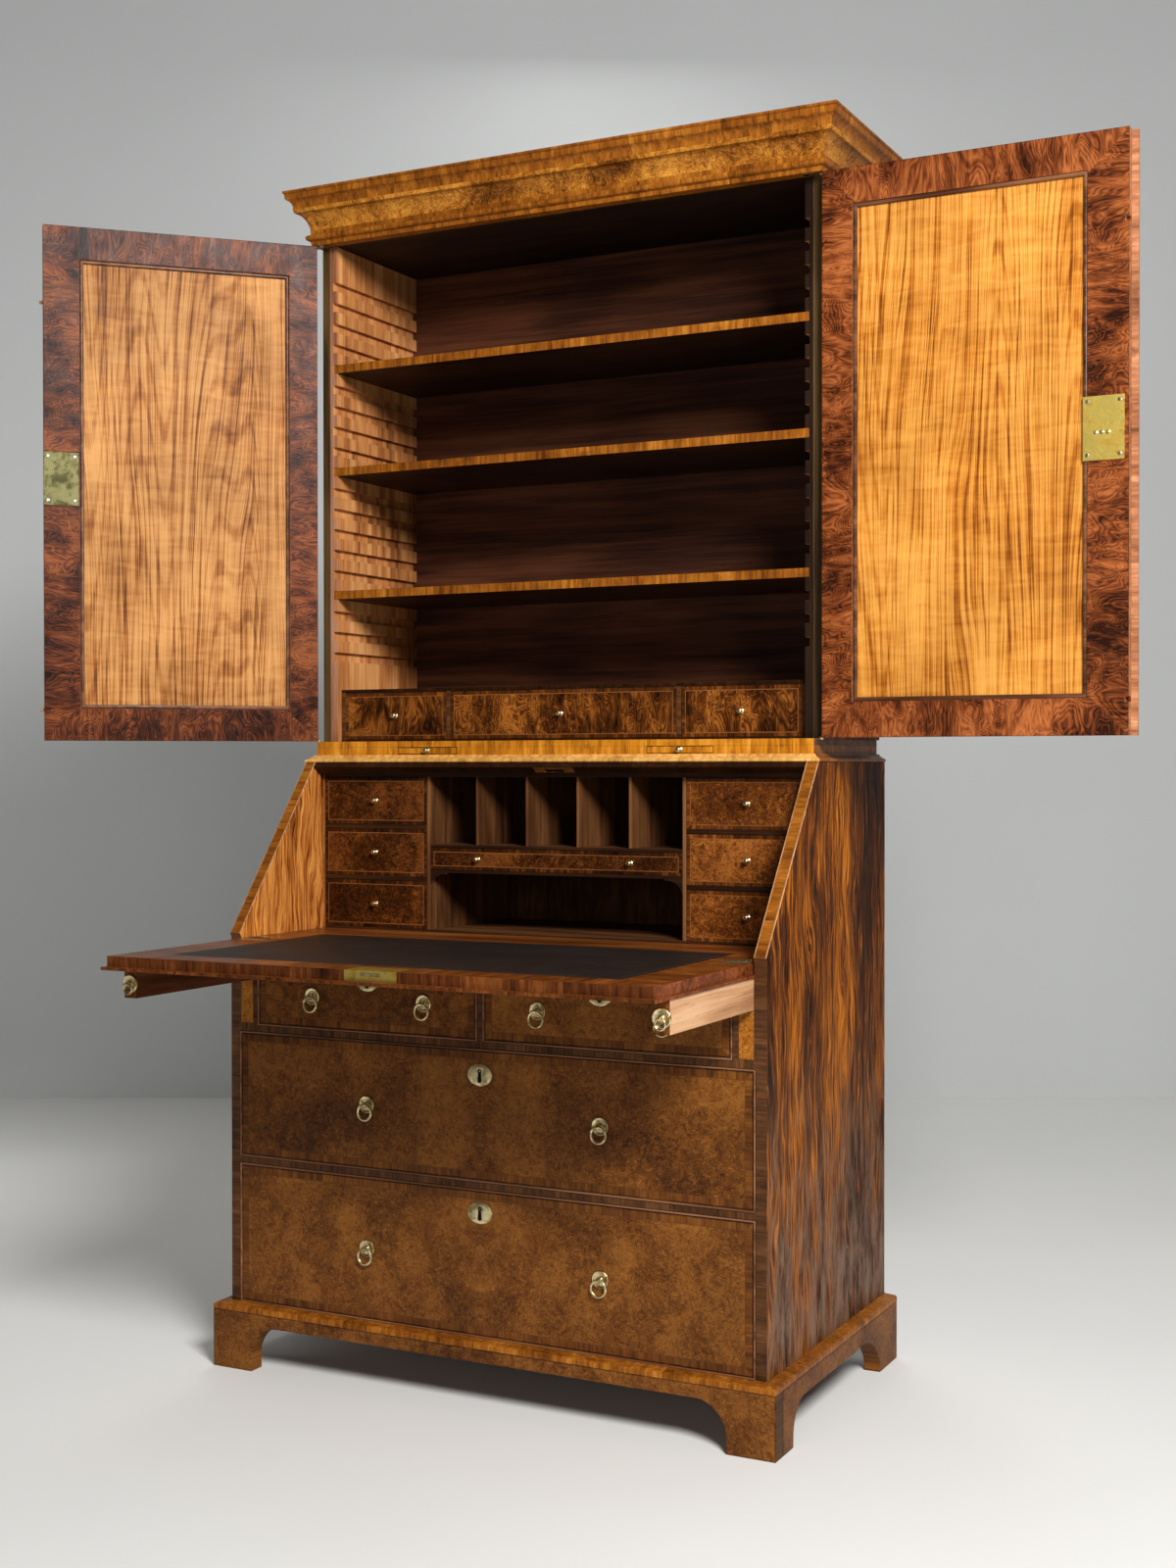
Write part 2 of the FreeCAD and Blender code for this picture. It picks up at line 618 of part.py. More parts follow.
def drawer_rails():
    """Dustboards, rail, divider and the loper channels' cheeks, panels and runners."""
    across = (-INNER_CASE, INNER_CASE)
    deep = (0, BACK_FACE)
    channel = (CHEEK_OUTER, INNER_CASE)
    rails = [
        block(across, deep, (Z_LOW_TOP, Z_HIGH)),
        block(across, deep, (Z_HIGH_TOP, Z_SHORT)),
        block((-DRAWER_DIVIDER / 2, DRAWER_DIVIDER / 2), deep, (Z_SHORT, Z_SHORT_TOP)),
        block((-CHEEK_INNER, CHEEK_INNER), (0, TOP_RAIL_DEPTH), (Z_SHORT_TOP, Z_RAIL_TOP)),
    ]
    rails += with_mirror(block((CHEEK_INNER, CHEEK_OUTER), deep, (Z_SHORT, Z_RAIL_TOP)))
    rails += with_mirror(block(channel, (0, LOPER_PANEL_DEPTH), (Z_SHORT, Z_LOPER_BED)))
    rails += with_mirror(block(channel, (LOPER_PANEL_DEPTH, BACK_FACE),
                               (Z_LOPER_BED - LOPER_RUNNER_HEIGHT, Z_LOPER_BED)))
    save("drawer_rails", rails)


# Lopers and main drawers

def lopers():
    centre = (LOPER_INNER + LOPER_OUTER) / 2
    eye = Z_RAIL_TOP - LOPER_RING_DROP
    bar = block((LOPER_INNER, LOPER_OUTER), (-LOPER_TRAVEL, LOPER_LENGTH - LOPER_TRAVEL),
                (Z_LOPER, Z_RAIL_TOP))
    solids = [bar, loper_mount(centre, -LOPER_TRAVEL, eye)]
    ring = loper_ring(centre, -LOPER_TRAVEL, eye)
    save("loper_right", solids)
    save("loper_left", [mirrored(solid) for solid in solids])
    save("loper_ring_right", [ring])
    save("loper_ring_left", [mirrored(ring)])


def main_drawer(name, x, z, ring_places, ring_drop, key_x, key_drop):
    solids = drawer(x, z, 0, MAIN_DRAWER_DEPTH, MAIN_BOARDS, MAIN_SIDE_GAP, MAIN_TOP_GAP)
    solids += [pull_mount(place, 0, z[1] - ring_drop) for place in ring_places]
    solids.append(escutcheon(key_x, 0, z[1] - key_drop))
    save(name, solids)
    save(name + "_rings", [pull_ring(place, 0, z[1] - ring_drop) for place in ring_places])


def main_drawers():
    across = (-INNER_CASE, INNER_CASE)
    pair = (-LONG_RING_SPACING / 2, LONG_RING_SPACING / 2)
    main_drawer("long_drawer_lower", across, (Z_LOW, Z_LOW_TOP), pair,
                LOW_RING_DROP, 0, LOW_KEYHOLE_DROP)
    main_drawer("long_drawer_upper", across, (Z_HIGH, Z_HIGH_TOP), pair,
                HIGH_RING_DROP, 0, HIGH_KEYHOLE_DROP)
    near = SHORT_RING_CENTRE - SHORT_RING_SPACING / 2
    far = SHORT_RING_CENTRE + SHORT_RING_SPACING / 2
    height = (Z_SHORT, Z_SHORT_TOP)
    main_drawer("short_drawer_right", (DRAWER_DIVIDER / 2, CHEEK_INNER), height, (near, far),
                SHORT_RING_DROP, SHORT_RING_CENTRE, SHORT_KEYHOLE_DROP)
    main_drawer("short_drawer_left", (-CHEEK_INNER, -DRAWER_DIVIDER / 2), height, (-far, -near),
                SHORT_RING_DROP, -SHORT_RING_CENTRE, SHORT_KEYHOLE_DROP)


# Fall with its lock and hinges

def fall_axis_rod(x, radius):
    return rod(vector(x[0], HINGE_SETBACK, Z_DESK), ACROSS, radius, x[1] - x[0])


def fall_hinge_span():
    return (FALL_HINGE_X - FALL_HINGE_WIDTH / 2, FALL_HINGE_X + FALL_HINGE_WIDTH / 2)


def fall_hinge_recess(front, rear):
    span = fall_hinge_span()
    leaf = block(span, (front, rear), (Z_DESK - FALL_HINGE_THICKNESS, Z_DESK + OVERRUN))
    room = fall_axis_rod(span, FALL_KNUCKLE_RADIUS + FALL_KNUCKLE_ROOM)
    return Part.makeCompound(with_mirror(leaf.fuse(room)))


def fall_hinge_leaf(first, front, rear):
    """Leaf and every other knuckle from the first, bored for the pin."""
    span = fall_hinge_span()
    share = FALL_HINGE_WIDTH / FALL_KNUCKLES
    leaf = block(span, (front, rear), (Z_DESK - FALL_HINGE_THICKNESS, Z_DESK))
    for index in range(FALL_KNUCKLES):
        part = (span[0] + index * share, span[0] + (index + 1) * share)
        if index % 2 == first:
            part = (part[0] + KNUCKLE_END_GAP / 2, part[1] - KNUCKLE_END_GAP / 2)
            leaf = leaf.fuse(fall_axis_rod(part, FALL_KNUCKLE_RADIUS))
        else:
            leaf = leaf.cut(fall_axis_rod(part, FALL_KNUCKLE_RADIUS + FALL_KNUCKLE_ROOM))
    return leaf.cut(fall_axis_rod(span, FALL_PIN_RADIUS + PIN_GAP)).removeSplitter()


def fall_fixed_hinges():
    leaf = fall_hinge_leaf(0, HINGE_SETBACK, HINGE_SETBACK + FALL_HINGE_LEAF)
    pin = fall_axis_rod(fall_hinge_span(), FALL_PIN_RADIUS)
    return with_mirror(leaf) + with_mirror(pin)


def fall_lock_case():
    half = FALL_LOCK_WIDTH / 2 - FALL_LOCK_INSET
    front = HINGE_SETBACK - FALL_REACH
    under = Z_DESK - FALL_LOCK_PLATE
    return block((FALL_LOCK_X - half, FALL_LOCK_X + half),
                 (front, front + FALL_LOCK_REACH - FALL_LOCK_INSET), (under - FALL_LOCK_CASE, under))


def fall_lock_plate():
    half = FALL_LOCK_WIDTH / 2
    front = HINGE_SETBACK - FALL_REACH
    x = (FALL_LOCK_X - half, FALL_LOCK_X + half)
    flat = block(x, (front, front + FALL_LOCK_REACH), (Z_DESK - FALL_LOCK_PLATE, Z_DESK))
    edge = block(x, (front, front + FALL_LOCK_PLATE), (Z_DESK - FALL_BODY, Z_DESK))
    return flat.fuse(edge)


def fall_bolt_bar(gap, front_room):
    half = FALL_BOLT_WIDTH / 2 + gap
    front = HINGE_SETBACK - FALL_REACH
    middle = Z_DESK - FALL_LOCK_PLATE - FALL_LOCK_CASE / 2
    return block((FALL_LOCK_X - half, FALL_LOCK_X + half),
                 (front - front_room, front + FALL_BOLT_LENGTH + gap),
                 (middle - FALL_BOLT_THICKNESS / 2 - gap, middle + FALL_BOLT_THICKNESS / 2 + gap))


def fall_keep_shape(slotted):
    """Keep in the face that the closed fall meets, with or without its slot."""
    half = FALL_KEEP_WIDTH / 2
    front = HINGE_SETBACK - FALL_REACH - FALL_STOP_GAP
    plate = block((FALL_LOCK_X - half, FALL_LOCK_X + half), (front - FALL_KEEP_THICKNESS, front),
                  (Z_DESK - FALL_BODY + FALL_SEAT_GAP + FALL_KEEP_EDGE, Z_DESK - FALL_KEEP_EDGE))
    plate = closed_fall_turn(plate)
    return plate.cut(fall_keep_pocket()) if slotted else plate


def fall_keep_pocket():
    reach = FALL_STOP_GAP + FALL_BOLT_THROW + BOLT_POCKET_GAP
    return closed_fall_turn(fall_bolt_bar(BOLT_POCKET_GAP, reach))


def fall():
    front = HINGE_SETBACK - FALL_REACH
    rear = HINGE_SETBACK - HINGE_GAP
    body = block((-HALF_FALL, HALF_FALL), (front, rear), (Z_DESK - FALL_BODY, Z_DESK))
    heel = block((-HALF_FALL, HALF_FALL), (front, rear), (Z_FALL_UNDER, Z_DESK - FALL_BODY))
    half_lip = HALF_FALL + FALL_LIP_OVERLAP
    lip = block((-half_lip, half_lip), (HINGE_SETBACK - FALL_LIP_REACH, -FALL_SEAT_GAP),
                (Z_FALL_UNDER, Z_DESK - FALL_BODY))
    skin = block((-HALF_LEATHER, HALF_LEATHER), (front + LEATHER_FRONT_BORDER, rear),
                 (Z_DESK - LEATHER_THICKNESS, Z_DESK))
    board = body.fuse([heel, lip]).removeSplitter().cut(skin)
    board = board.cut(fall_hinge_recess(HINGE_SETBACK - FALL_HINGE_LEAF, HINGE_SETBACK))
    board = board.cut(fall_lock_plate()).cut(fall_lock_case()).cut(fall_bolt_bar(BOLT_GAP, OVERRUN))
    lock = fall_lock_plate().fuse(fall_lock_case()).removeSplitter().cut(fall_bolt_bar(BOLT_GAP, OVERRUN))
    leaf = fall_hinge_leaf(1, HINGE_SETBACK - FALL_HINGE_LEAF, HINGE_SETBACK)
    save("fall_board", [board])
    save("fall_leather", [skin])
    save("fall_brasses", [lock] + with_mirror(leaf))
    save("fall_bolt", [fall_bolt_bar(0, 0)])


# Pigeonholes and desk drawers

def stack_level(index):
    bottom = Z_PIGEON + index * (STACK_OPENING + PIGEON_SHELF)
    return (bottom, bottom + STACK_OPENING)


def pigeonhole_case():
    deep = (PIGEON_SETBACK, PIGEON_REAR)
    centre = (-PIGEON_HALF, PIGEON_HALF)
    stack = (PIGEON_HALF + PIGEON_PARTITION, PIGEON_OUTER)
    boards = [
        block((-PIGEON_OUTER, PIGEON_OUTER), deep, (Z_DESK, Z_PIGEON)),
        block((-PIGEON_OUTER, PIGEON_OUTER), deep, (Z_PIGEON_TOP, Z_TOP_UNDER)),
        block(centre, deep, (Z_WELL_TOP, Z_SHALLOW)),
        block(centre, deep, (Z_SHALLOW_TOP, Z_HOLES)),
    ]
    boards += with_mirror(block((PIGEON_OUTER, INNER_CASE), deep, (Z_DESK, Z_TOP_UNDER)))
    boards += with_mirror(block((PIGEON_HALF, stack[0]), deep, (Z_PIGEON, Z_PIGEON_TOP)))
    for index in range(STACK_DRAWERS - 1):
        shelf = (stack_level(index)[1], stack_level(index + 1)[0])
        boards += with_mirror(block(stack, deep, shelf))
    pitch = (PIGEON_CENTRE_WIDTH + PIGEON_THIN) / PIGEON_COLUMNS
    for index in range(1, PIGEON_COLUMNS):
        right = -PIGEON_HALF + index * pitch
        boards.append(block((right - PIGEON_THIN, right), deep, (Z_HOLES, Z_PIGEON_TOP)))
    boards += with_mirror(spandrel())
    save("pigeonhole_case", boards)


def spandrel():
    """Small shaped bracket in the open well's upper corner."""
    bend = math.sin(math.radians(RIGHT_ANGLE / 2))
    edge = Z_WELL_TOP - SPANDREL_EDGE
    points = [
        (PIGEON_HALF, Z_WELL_TOP), (PIGEON_HALF, Z_WELL_TOP - SPANDREL_RISE),
        (PIGEON_HALF - SPANDREL_RUN * (1 - bend), edge - (SPANDREL_RISE - SPANDREL_EDGE) * (1 - bend),
         PIGEON_HALF - SPANDREL_RUN, edge),
        (PIGEON_HALF - SPANDREL_RUN, Z_WELL_TOP)]
    return prism_along_y(points, (PIGEON_SETBACK, PIGEON_SETBACK + SPANDREL_THICKNESS))


def desk_drawers():
    x = (PIGEON_HALF + PIGEON_PARTITION, PIGEON_OUTER)
    for index in range(STACK_DRAWERS):
        z = stack_level(index)
        solids = drawer(x, z, PIGEON_SETBACK, DESK_DRAWER_DEPTH, SMALL_BOARDS,
                        SMALL_SIDE_GAP, SMALL_TOP_GAP)
        solids.append(knob((x[0] + x[1]) / 2, PIGEON_SETBACK, (z[0] + z[1]) / 2))
        number = str(STACK_DRAWERS - index)
        save("desk_drawer_right_" + number, solids)
        save("desk_drawer_left_" + number, [mirrored(solid) for solid in solids])
    z = (Z_SHALLOW, Z_SHALLOW_TOP)
    solids = drawer((-PIGEON_HALF, PIGEON_HALF), z, PIGEON_SETBACK, DESK_DRAWER_DEPTH, SMALL_BOARDS,
                    SMALL_SIDE_GAP, SMALL_TOP_GAP)
    solids += with_mirror(knob(SHALLOW_KNOB_SPACING / 2, PIGEON_SETBACK, (z[0] + z[1]) / 2))
    save("desk_shallow_drawer", solids)


# Plinth and candle slides

def waist_moulding():
    save("waist_moulding", mitred_moulding(
        WAIST_PROFILE_SHARES, HALF_PLINTH, PLINTH_SETBACK, REAR, Z_CASE_TOP,
        WAIST_PROJECTION, WAIST_MOULDING_HEIGHT, 0))


def slide_slot(gap):
    """Room of the right candle slide, or with no gap the slide itself."""
    centre = SLIDE_SPACING / 2
    half = SLIDE_WIDTH / 2 + gap
    middle = Z_PLINTH_TOP - SLIDE_GAP - SLIDE_THICKNESS / 2
    half_thickness = SLIDE_THICKNESS / 2 + gap
    return ((centre - half, centre + half), (middle - half_thickness, middle + half_thickness))


def bookcase_plinth():
    slot_x, slot_z = slide_slot(SLIDE_GAP)
    rail_rear = PLINTH_SETBACK + PLINTH_RAIL_DEPTH
    height = (Z_CASE_TOP, Z_PLINTH_TOP)
    rail = block((-HALF_PLINTH, HALF_PLINTH), (PLINTH_SETBACK, rail_rear), height)
    for slot in with_mirror(block(slot_x, (PLINTH_SETBACK - OVERRUN, rail_rear + OVERRUN), slot_z)):
        rail = rail.cut(slot)
    bed = block((slot_x[0] - SLIDE_BED_OVERHANG, slot_x[1] + SLIDE_BED_OVERHANG), (rail_rear, BACK_FACE),
                (Z_CASE_TOP, slot_z[0]))
    side = block((HALF_PLINTH - PLINTH_SIDE, HALF_PLINTH), (rail_rear, REAR), height)
    save("candle_slide_rail", [rail] + with_mirror(bed) + with_mirror(side))
    slide_x, slide_z = slide_slot(0)
    slide = block(slide_x, (PLINTH_SETBACK, SLIDE_REAR), slide_z)
    solids = [slide, knob(SLIDE_SPACING / 2, PLINTH_SETBACK, (slide_z[0] + slide_z[1]) / 2)]
    save("candle_slide_right", solids)
    save("candle_slide_left", [mirrored(solid) for solid in solids])


# Bookcase carcase

def bookcase_boards():
    levels = (Z_BOOK_FLOOR, Z_BOOK_TOP)
    floor = block((-HALF_PLINTH, HALF_PLINTH), (PLINTH_SETBACK, REAR), (Z_PLINTH_TOP, Z_BOOK_FLOOR))
    for leaf in with_mirror(pivot_leaf(Z_BOOK_FLOOR - LEAF_THICKNESS)):
        floor = floor.cut(leaf)
    save("bookcase_floor", [floor])
    side = block((INNER_BOOKCASE, HALF_BOOKCASE), (BOOKCASE_SETBACK, REAR), levels)
    save("bookcase_side_right", [side])
    save("bookcase_side_left", [mirrored(side)])
    save("bookcase_back", [block((-INNER_BOOKCASE, INNER_BOOKCASE), (BACK_FACE, REAR), levels)])
    half_top = HALF_CORNICE - CORNICE_THICKNESS
    save("bookcase_top", [block((-half_top, half_top), (CORNICE_SETBACK + CORNICE_THICKNESS, REAR),
                                (Z_BOOK_TOP, Z_BOOK_TOP + BOOKCASE_TOP))])


def groove_top(index):
    return Z_BOOK_TOP - GROOVE_TOP_DROP - index * GROOVE_PITCH


def grooved_linings():
    lining = block((INNER_LINING, INNER_BOOKCASE), (BOOKCASE_SETBACK, BACK_FACE),
                   (Z_BOOK_FLOOR, Z_BOOK_TOP))
    grooves = [
        block((INNER_LINING - OVERRUN, INNER_LINING + GROOVE_DEPTH),
              (BOOKCASE_SETBACK - OVERRUN, BACK_FACE + OVERRUN),
              (groove_top(index) - GROOVE_HEIGHT, groove_top(index)))
        for index in range(GROOVE_COUNT)]
    save("grooved_linings", with_mirror(lining.cut(grooves)))


def shelves():
    half = INNER_LINING + GROOVE_DEPTH - SHELF_END_GAP
    for name, index in SHELF_GROOVES.items():
        bottom = groove_top(index) - GROOVE_HEIGHT + RUN_GAP
        save(name, [block((-half, half), (BOOKCASE_SETBACK + SHELF_SETBACK, BACK_FACE - CASE_REAR_GAP),
                          (bottom, bottom + SHELF_THICKNESS))])


def bookcase_drawers():
    front = BOOK_DRAWER_FRONT
    deep = (front, BACK_FACE - CASE_REAR_GAP)
    inner = INNER_LINING - BOOK_DRAWER_CASE_SIDE
    top = Z_BOOK_FLOOR + BOOK_DRAWER_CASE_HEIGHT
    floor = Z_BOOK_FLOOR + BOOK_DRAWER_CASE_BASE
    under = top - BOOK_DRAWER_CASE_TOP
    post = (BOOK_DRAWER_SPREAD - BOOK_DRAWER_DIVIDER / 2, BOOK_DRAWER_SPREAD + BOOK_DRAWER_DIVIDER / 2)
    boards = [
        block((-INNER_LINING, INNER_LINING), deep, (under, top)),
        block((-inner, inner), deep, (Z_BOOK_FLOOR, floor)),
    ]
    boards += with_mirror(block((inner, INNER_LINING), deep, (Z_BOOK_FLOOR, under)))
    boards += with_mirror(block(post, deep, (floor, under)))
    save("bookcase_drawer_case", boards)
    openings = {
        "bookcase_drawer_left": (-inner, -post[1]),
        "bookcase_drawer_middle": (-post[0], post[0]),
        "bookcase_drawer_right": (post[1], inner),
    }
    for name, x in openings.items():
        solids = drawer(x, (floor, under), front, BOOK_DRAWER_DEPTH, SMALL_BOARDS,
                        SMALL_SIDE_GAP, SMALL_TOP_GAP)
        solids.append(knob((x[0] + x[1]) / 2, front, (floor + under) / 2))
        save(name, solids)


def cornice():
    runs = mitred_moulding(CORNICE_PROFILE_SHARES, HALF_CORNICE, CORNICE_SETBACK, REAR, Z_BOOK_TOP,
                           CORNICE_PROJECTION, CORNICE_HEIGHT, CORNICE_THICKNESS)
    room = rod(vector(PIVOT_X, PIVOT_Y, Z_BOOK_TOP - OVERRUN), UPWARD, KNUCKLE_RADIUS + KNUCKLE_ROOM,
               OVERRUN + KNUCKLE_RADIUS)
    for cut in with_mirror(pivot_leaf(Z_BOOK_TOP)) + with_mirror(room):
        runs = [run.cut(cut) for run in runs]
    save("cornice", runs)


# Pivot hinges at the doors' outer corners

def pivot_leaf(bottom):
    return block((PIVOT_X - LEAF_LENGTH, PIVOT_X), (PIVOT_Y - LEAF_WIDTH / 2, PIVOT_Y + LEAF_WIDTH / 2),
                 (bottom, bottom + LEAF_THICKNESS))


def half_knuckle(middle, upward):
    ball = Part.makeSphere(KNUCKLE_RADIUS, vector(PIVOT_X, PIVOT_Y, middle))
    if upward:
        levels = (middle + KNUCKLE_SPLIT / 2, middle + KNUCKLE_RADIUS * 2)
    else:
        levels = (middle - KNUCKLE_RADIUS * 2, middle - KNUCKLE_SPLIT / 2)
    return ball.common(block((PIVOT_X - KNUCKLE_RADIUS * 2, PIVOT_X + KNUCKLE_RADIUS * 2),
                             (PIVOT_Y - KNUCKLE_RADIUS * 2, PIVOT_Y + KNUCKLE_RADIUS * 2), levels))


def pivot_pin(middle, upward, radius, reach):
    start = middle if upward else middle - reach
    return rod(vector(PIVOT_X, PIVOT_Y, start), UPWARD, radius, reach)


def fixed_pivots():
    floor_middle = Z_BOOK_FLOOR + DOOR_FLOOR_GAP / 2
    top_middle = Z_BOOK_TOP - DOOR_TOP_GAP / 2
    lower = pivot_leaf(Z_BOOK_FLOOR - LEAF_THICKNESS).fuse([
        half_knuckle(floor_middle, False),
        pivot_pin(floor_middle - KNUCKLE_SPLIT, True, PIVOT_PIN_RADIUS, PIN_REACH)])
    upper = pivot_leaf(Z_BOOK_TOP).fuse([
        half_knuckle(top_middle, True),
        pivot_pin(top_middle + KNUCKLE_SPLIT, False, PIVOT_PIN_RADIUS, PIN_REACH)])
    return with_mirror(lower.removeSplitter()) + with_mirror(upper.removeSplitter())


def door_pivots():
    """The right door's own leaves and half knuckles, bored for the pins, with the door closed."""
    floor_middle = Z_BOOK_FLOOR + DOOR_FLOOR_GAP / 2
    top_middle = Z_BOOK_TOP - DOOR_TOP_GAP / 2
    bore = PIVOT_PIN_RADIUS + PIN_GAP
    lower = pivot_leaf(Z_DOOR).fuse(half_knuckle(floor_middle, True))
    upper = pivot_leaf(Z_DOOR_TOP - LEAF_THICKNESS).fuse(half_knuckle(top_middle, False))
    return [lower.cut(pivot_pin(floor_middle, True, bore, PIN_REACH)).removeSplitter(),
            upper.cut(pivot_pin(top_middle, False, bore, PIN_REACH)).removeSplitter()]


# Doors, drawn closed on the right and then mirrored or turned

def door_frame():
    """Two stiles and two rails, grooved for the panel."""
    left = DOOR_MEETING_GAP / 2
    thick = (DOOR_FRONT, DOOR_REAR)
    opening_x = (left + MEETING_STILE, DOOR_EDGE - HINGE_STILE)
    opening_z = (Z_DOOR + DOOR_RAIL, Z_DOOR_TOP - DOOR_RAIL)
    groove = door_panel(PANEL_GAP)
    pieces = [
        block((left, opening_x[0]), thick, (Z_DOOR, Z_DOOR_TOP)),
        block((opening_x[1], DOOR_EDGE), thick, (Z_DOOR, Z_DOOR_TOP)),
        block(opening_x, thick, (Z_DOOR, opening_z[0])),
        block(opening_x, thick, (opening_z[1], Z_DOOR_TOP)),
    ]
    pieces = [piece.cut(groove) for piece in pieces]
    for leaf in (pivot_leaf(Z_DOOR), pivot_leaf(Z_DOOR_TOP - LEAF_THICKNESS)):
        pieces[1] = pieces[1].cut(leaf)
    return pieces


def door_panel(gap):
    middle = (DOOR_FRONT + DOOR_REAR) / 2
    reach = PANEL_TONGUE + gap
    half = PANEL_THICKNESS / 2 + gap
    return block((DOOR_MEETING_GAP / 2 + MEETING_STILE - reach, DOOR_EDGE - HINGE_STILE + reach),
                 (middle - half, middle + half),
                 (Z_DOOR + DOOR_RAIL - reach, Z_DOOR_TOP - DOOR_RAIL + reach))


def door_lock_levels(height):
    middle = Z_DOOR + DOOR_LOCK_RISE + DOOR_LOCK_HEIGHT / 2
    return (middle - height / 2, middle + height / 2)


def door_bolt_bar(gap, reach):
    """The right door's bolt, reaching past the door's free edge by reach."""
    edge = DOOR_MEETING_GAP / 2
    middle = DOOR_REAR - LOCK_PLATE - LOCK_CASE_DEPTH / 2
    return block((edge - reach, edge + DOOR_BOLT_LENGTH + gap),
                 (middle - DOOR_BOLT_THICKNESS / 2 - gap, middle + DOOR_BOLT_THICKNESS / 2 + gap),
                 door_lock_levels(DOOR_BOLT_HEIGHT + gap * 2))


def door_lock():
    left = DOOR_MEETING_GAP / 2 + DOOR_LOCK_EDGE
    right = left + DOOR_LOCK_WIDTH
    plate = block((left, right), (DOOR_REAR - LOCK_PLATE, DOOR_REAR), door_lock_levels(DOOR_LOCK_HEIGHT))
    case = block((left + LOCK_CASE_INSET, right - LOCK_CASE_INSET * 2),
                 (DOOR_REAR - LOCK_PLATE - LOCK_CASE_DEPTH, DOOR_REAR - LOCK_PLATE),
                 door_lock_levels(DOOR_LOCK_HEIGHT - LOCK_CASE_INSET * 2))
    return plate.fuse(case).removeSplitter()


def peg_levels():
    return (Z_DOOR_TOP - PEG_TOP_DROP, Z_DOOR + PEG_BOTTOM_RISE)


def peg_socket(z):
    """Notch in the right door's free edge, open to its inner face."""
    edge = DOOR_MEETING_GAP / 2
    reach = PEG_RADIUS + PEG_SOCKET_GAP
    return block((edge - OVERRUN, edge + PEG_LENGTH), (PIVOT_Y - reach, DOOR_REAR + OVERRUN),
                 (z - reach, z + reach))


def right_door():
    pieces = door_frame()
    lock = door_lock()
    slot = door_bolt_bar(BOLT_GAP, OVERRUN)
    pieces[0] = pieces[0].cut(lock).cut(slot)
    for z in peg_levels():
        pieces[0] = pieces[0].cut(peg_socket(z))
    edge = DOOR_MEETING_GAP / 2
    strip = block((edge - ASTRAGAL_OVERLAP, edge + ASTRAGAL_WIDTH - ASTRAGAL_OVERLAP),
                  (DOOR_FRONT - ASTRAGAL_THICKNESS, DOOR_FRONT), (Z_DOOR, Z_DOOR_TOP))
    pieces.append(strip.cut(block((edge - ASTRAGAL_OVERLAP - OVERRUN, edge),
                                  (DOOR_FRONT - ASTRAGAL_GAP, DOOR_FRONT + OVERRUN),
                                  (Z_DOOR - OVERRUN, Z_DOOR_TOP + OVERRUN))))
    save_opened("right_door_frame", pieces, 1)
    save_opened("right_door_panel", [door_panel(0)], 1)
    save_opened("right_door_brasses", [lock.cut(slot)] + door_pivots(), 1)
    save_opened("right_door_bolt", [door_bolt_bar(0, 0)], 1)


def left_door():
    pieces = [mirrored(piece) for piece in door_frame()]
    edge = -DOOR_MEETING_GAP / 2
    keep = block((edge - KEEP_WIDTH, edge), (DOOR_REAR - LOCK_PLATE, DOOR_REAR),
                 door_lock_levels(KEEP_HEIGHT))
    pocket = door_bolt_bar(BOLT_POCKET_GAP, DOOR_MEETING_GAP + DOOR_BOLT_THROW + BOLT_POCKET_GAP)
    pieces[0] = pieces[0].cut(keep).cut(pocket)
    pegs = [rod(vector(edge, PIVOT_Y, z), ACROSS, PEG_RADIUS, PEG_LENGTH) for z in peg_levels()]
    save_opened("left_door_frame", pieces + pegs, -1)
    save_opened("left_door_panel", [mirrored(door_panel(0))], -1)
    save_opened("left_door_brasses", [keep] + [mirrored(shape) for shape in door_pivots()], -1)


def save_opened(node, solids, side):
    """Save pieces of the door on that side (1 right, -1 left), turned to where it stands open."""
    opening = RIGHT_DOOR_OPENING if side > 0 else -LEFT_DOOR_OPENING
    centre = vector(side * PIVOT_X, PIVOT_Y, 0)
    save(node, [turned(solid, centre, UPWARD, opening) for solid in solids])


def fixed_brasses():
    save("fixed_brasses", fixed_pivots() + fall_fixed_hinges() + [fall_keep_shape(True)])


def main():
    os.makedirs("parts", exist_ok=True)
    bracket_base_front()
    bracket_base_sides()
    base_moulding()
    bureau_sides()
    bureau_boards()
    bureau_top()
    desk_floor()
    drawer_rails()
    lopers()
    main_drawers()
    fall()
    pigeonhole_case()
    desk_drawers()
    waist_moulding()
    bookcase_plinth()
    bookcase_boards()
    grooved_linings()
    shelves()
    bookcase_drawers()
    cornice()
    right_door()
    left_door()
    fixed_brasses()


main()
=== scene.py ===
"""Looks of the bureau bookcase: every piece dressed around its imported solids, with its trim and brasses."""

import json
import logging
import math
from dataclasses import dataclass
from enum import Enum
from typing import Callable, Iterable, Optional, Sequence

import bmesh
import bpy
from mathutils import Matrix, Vector

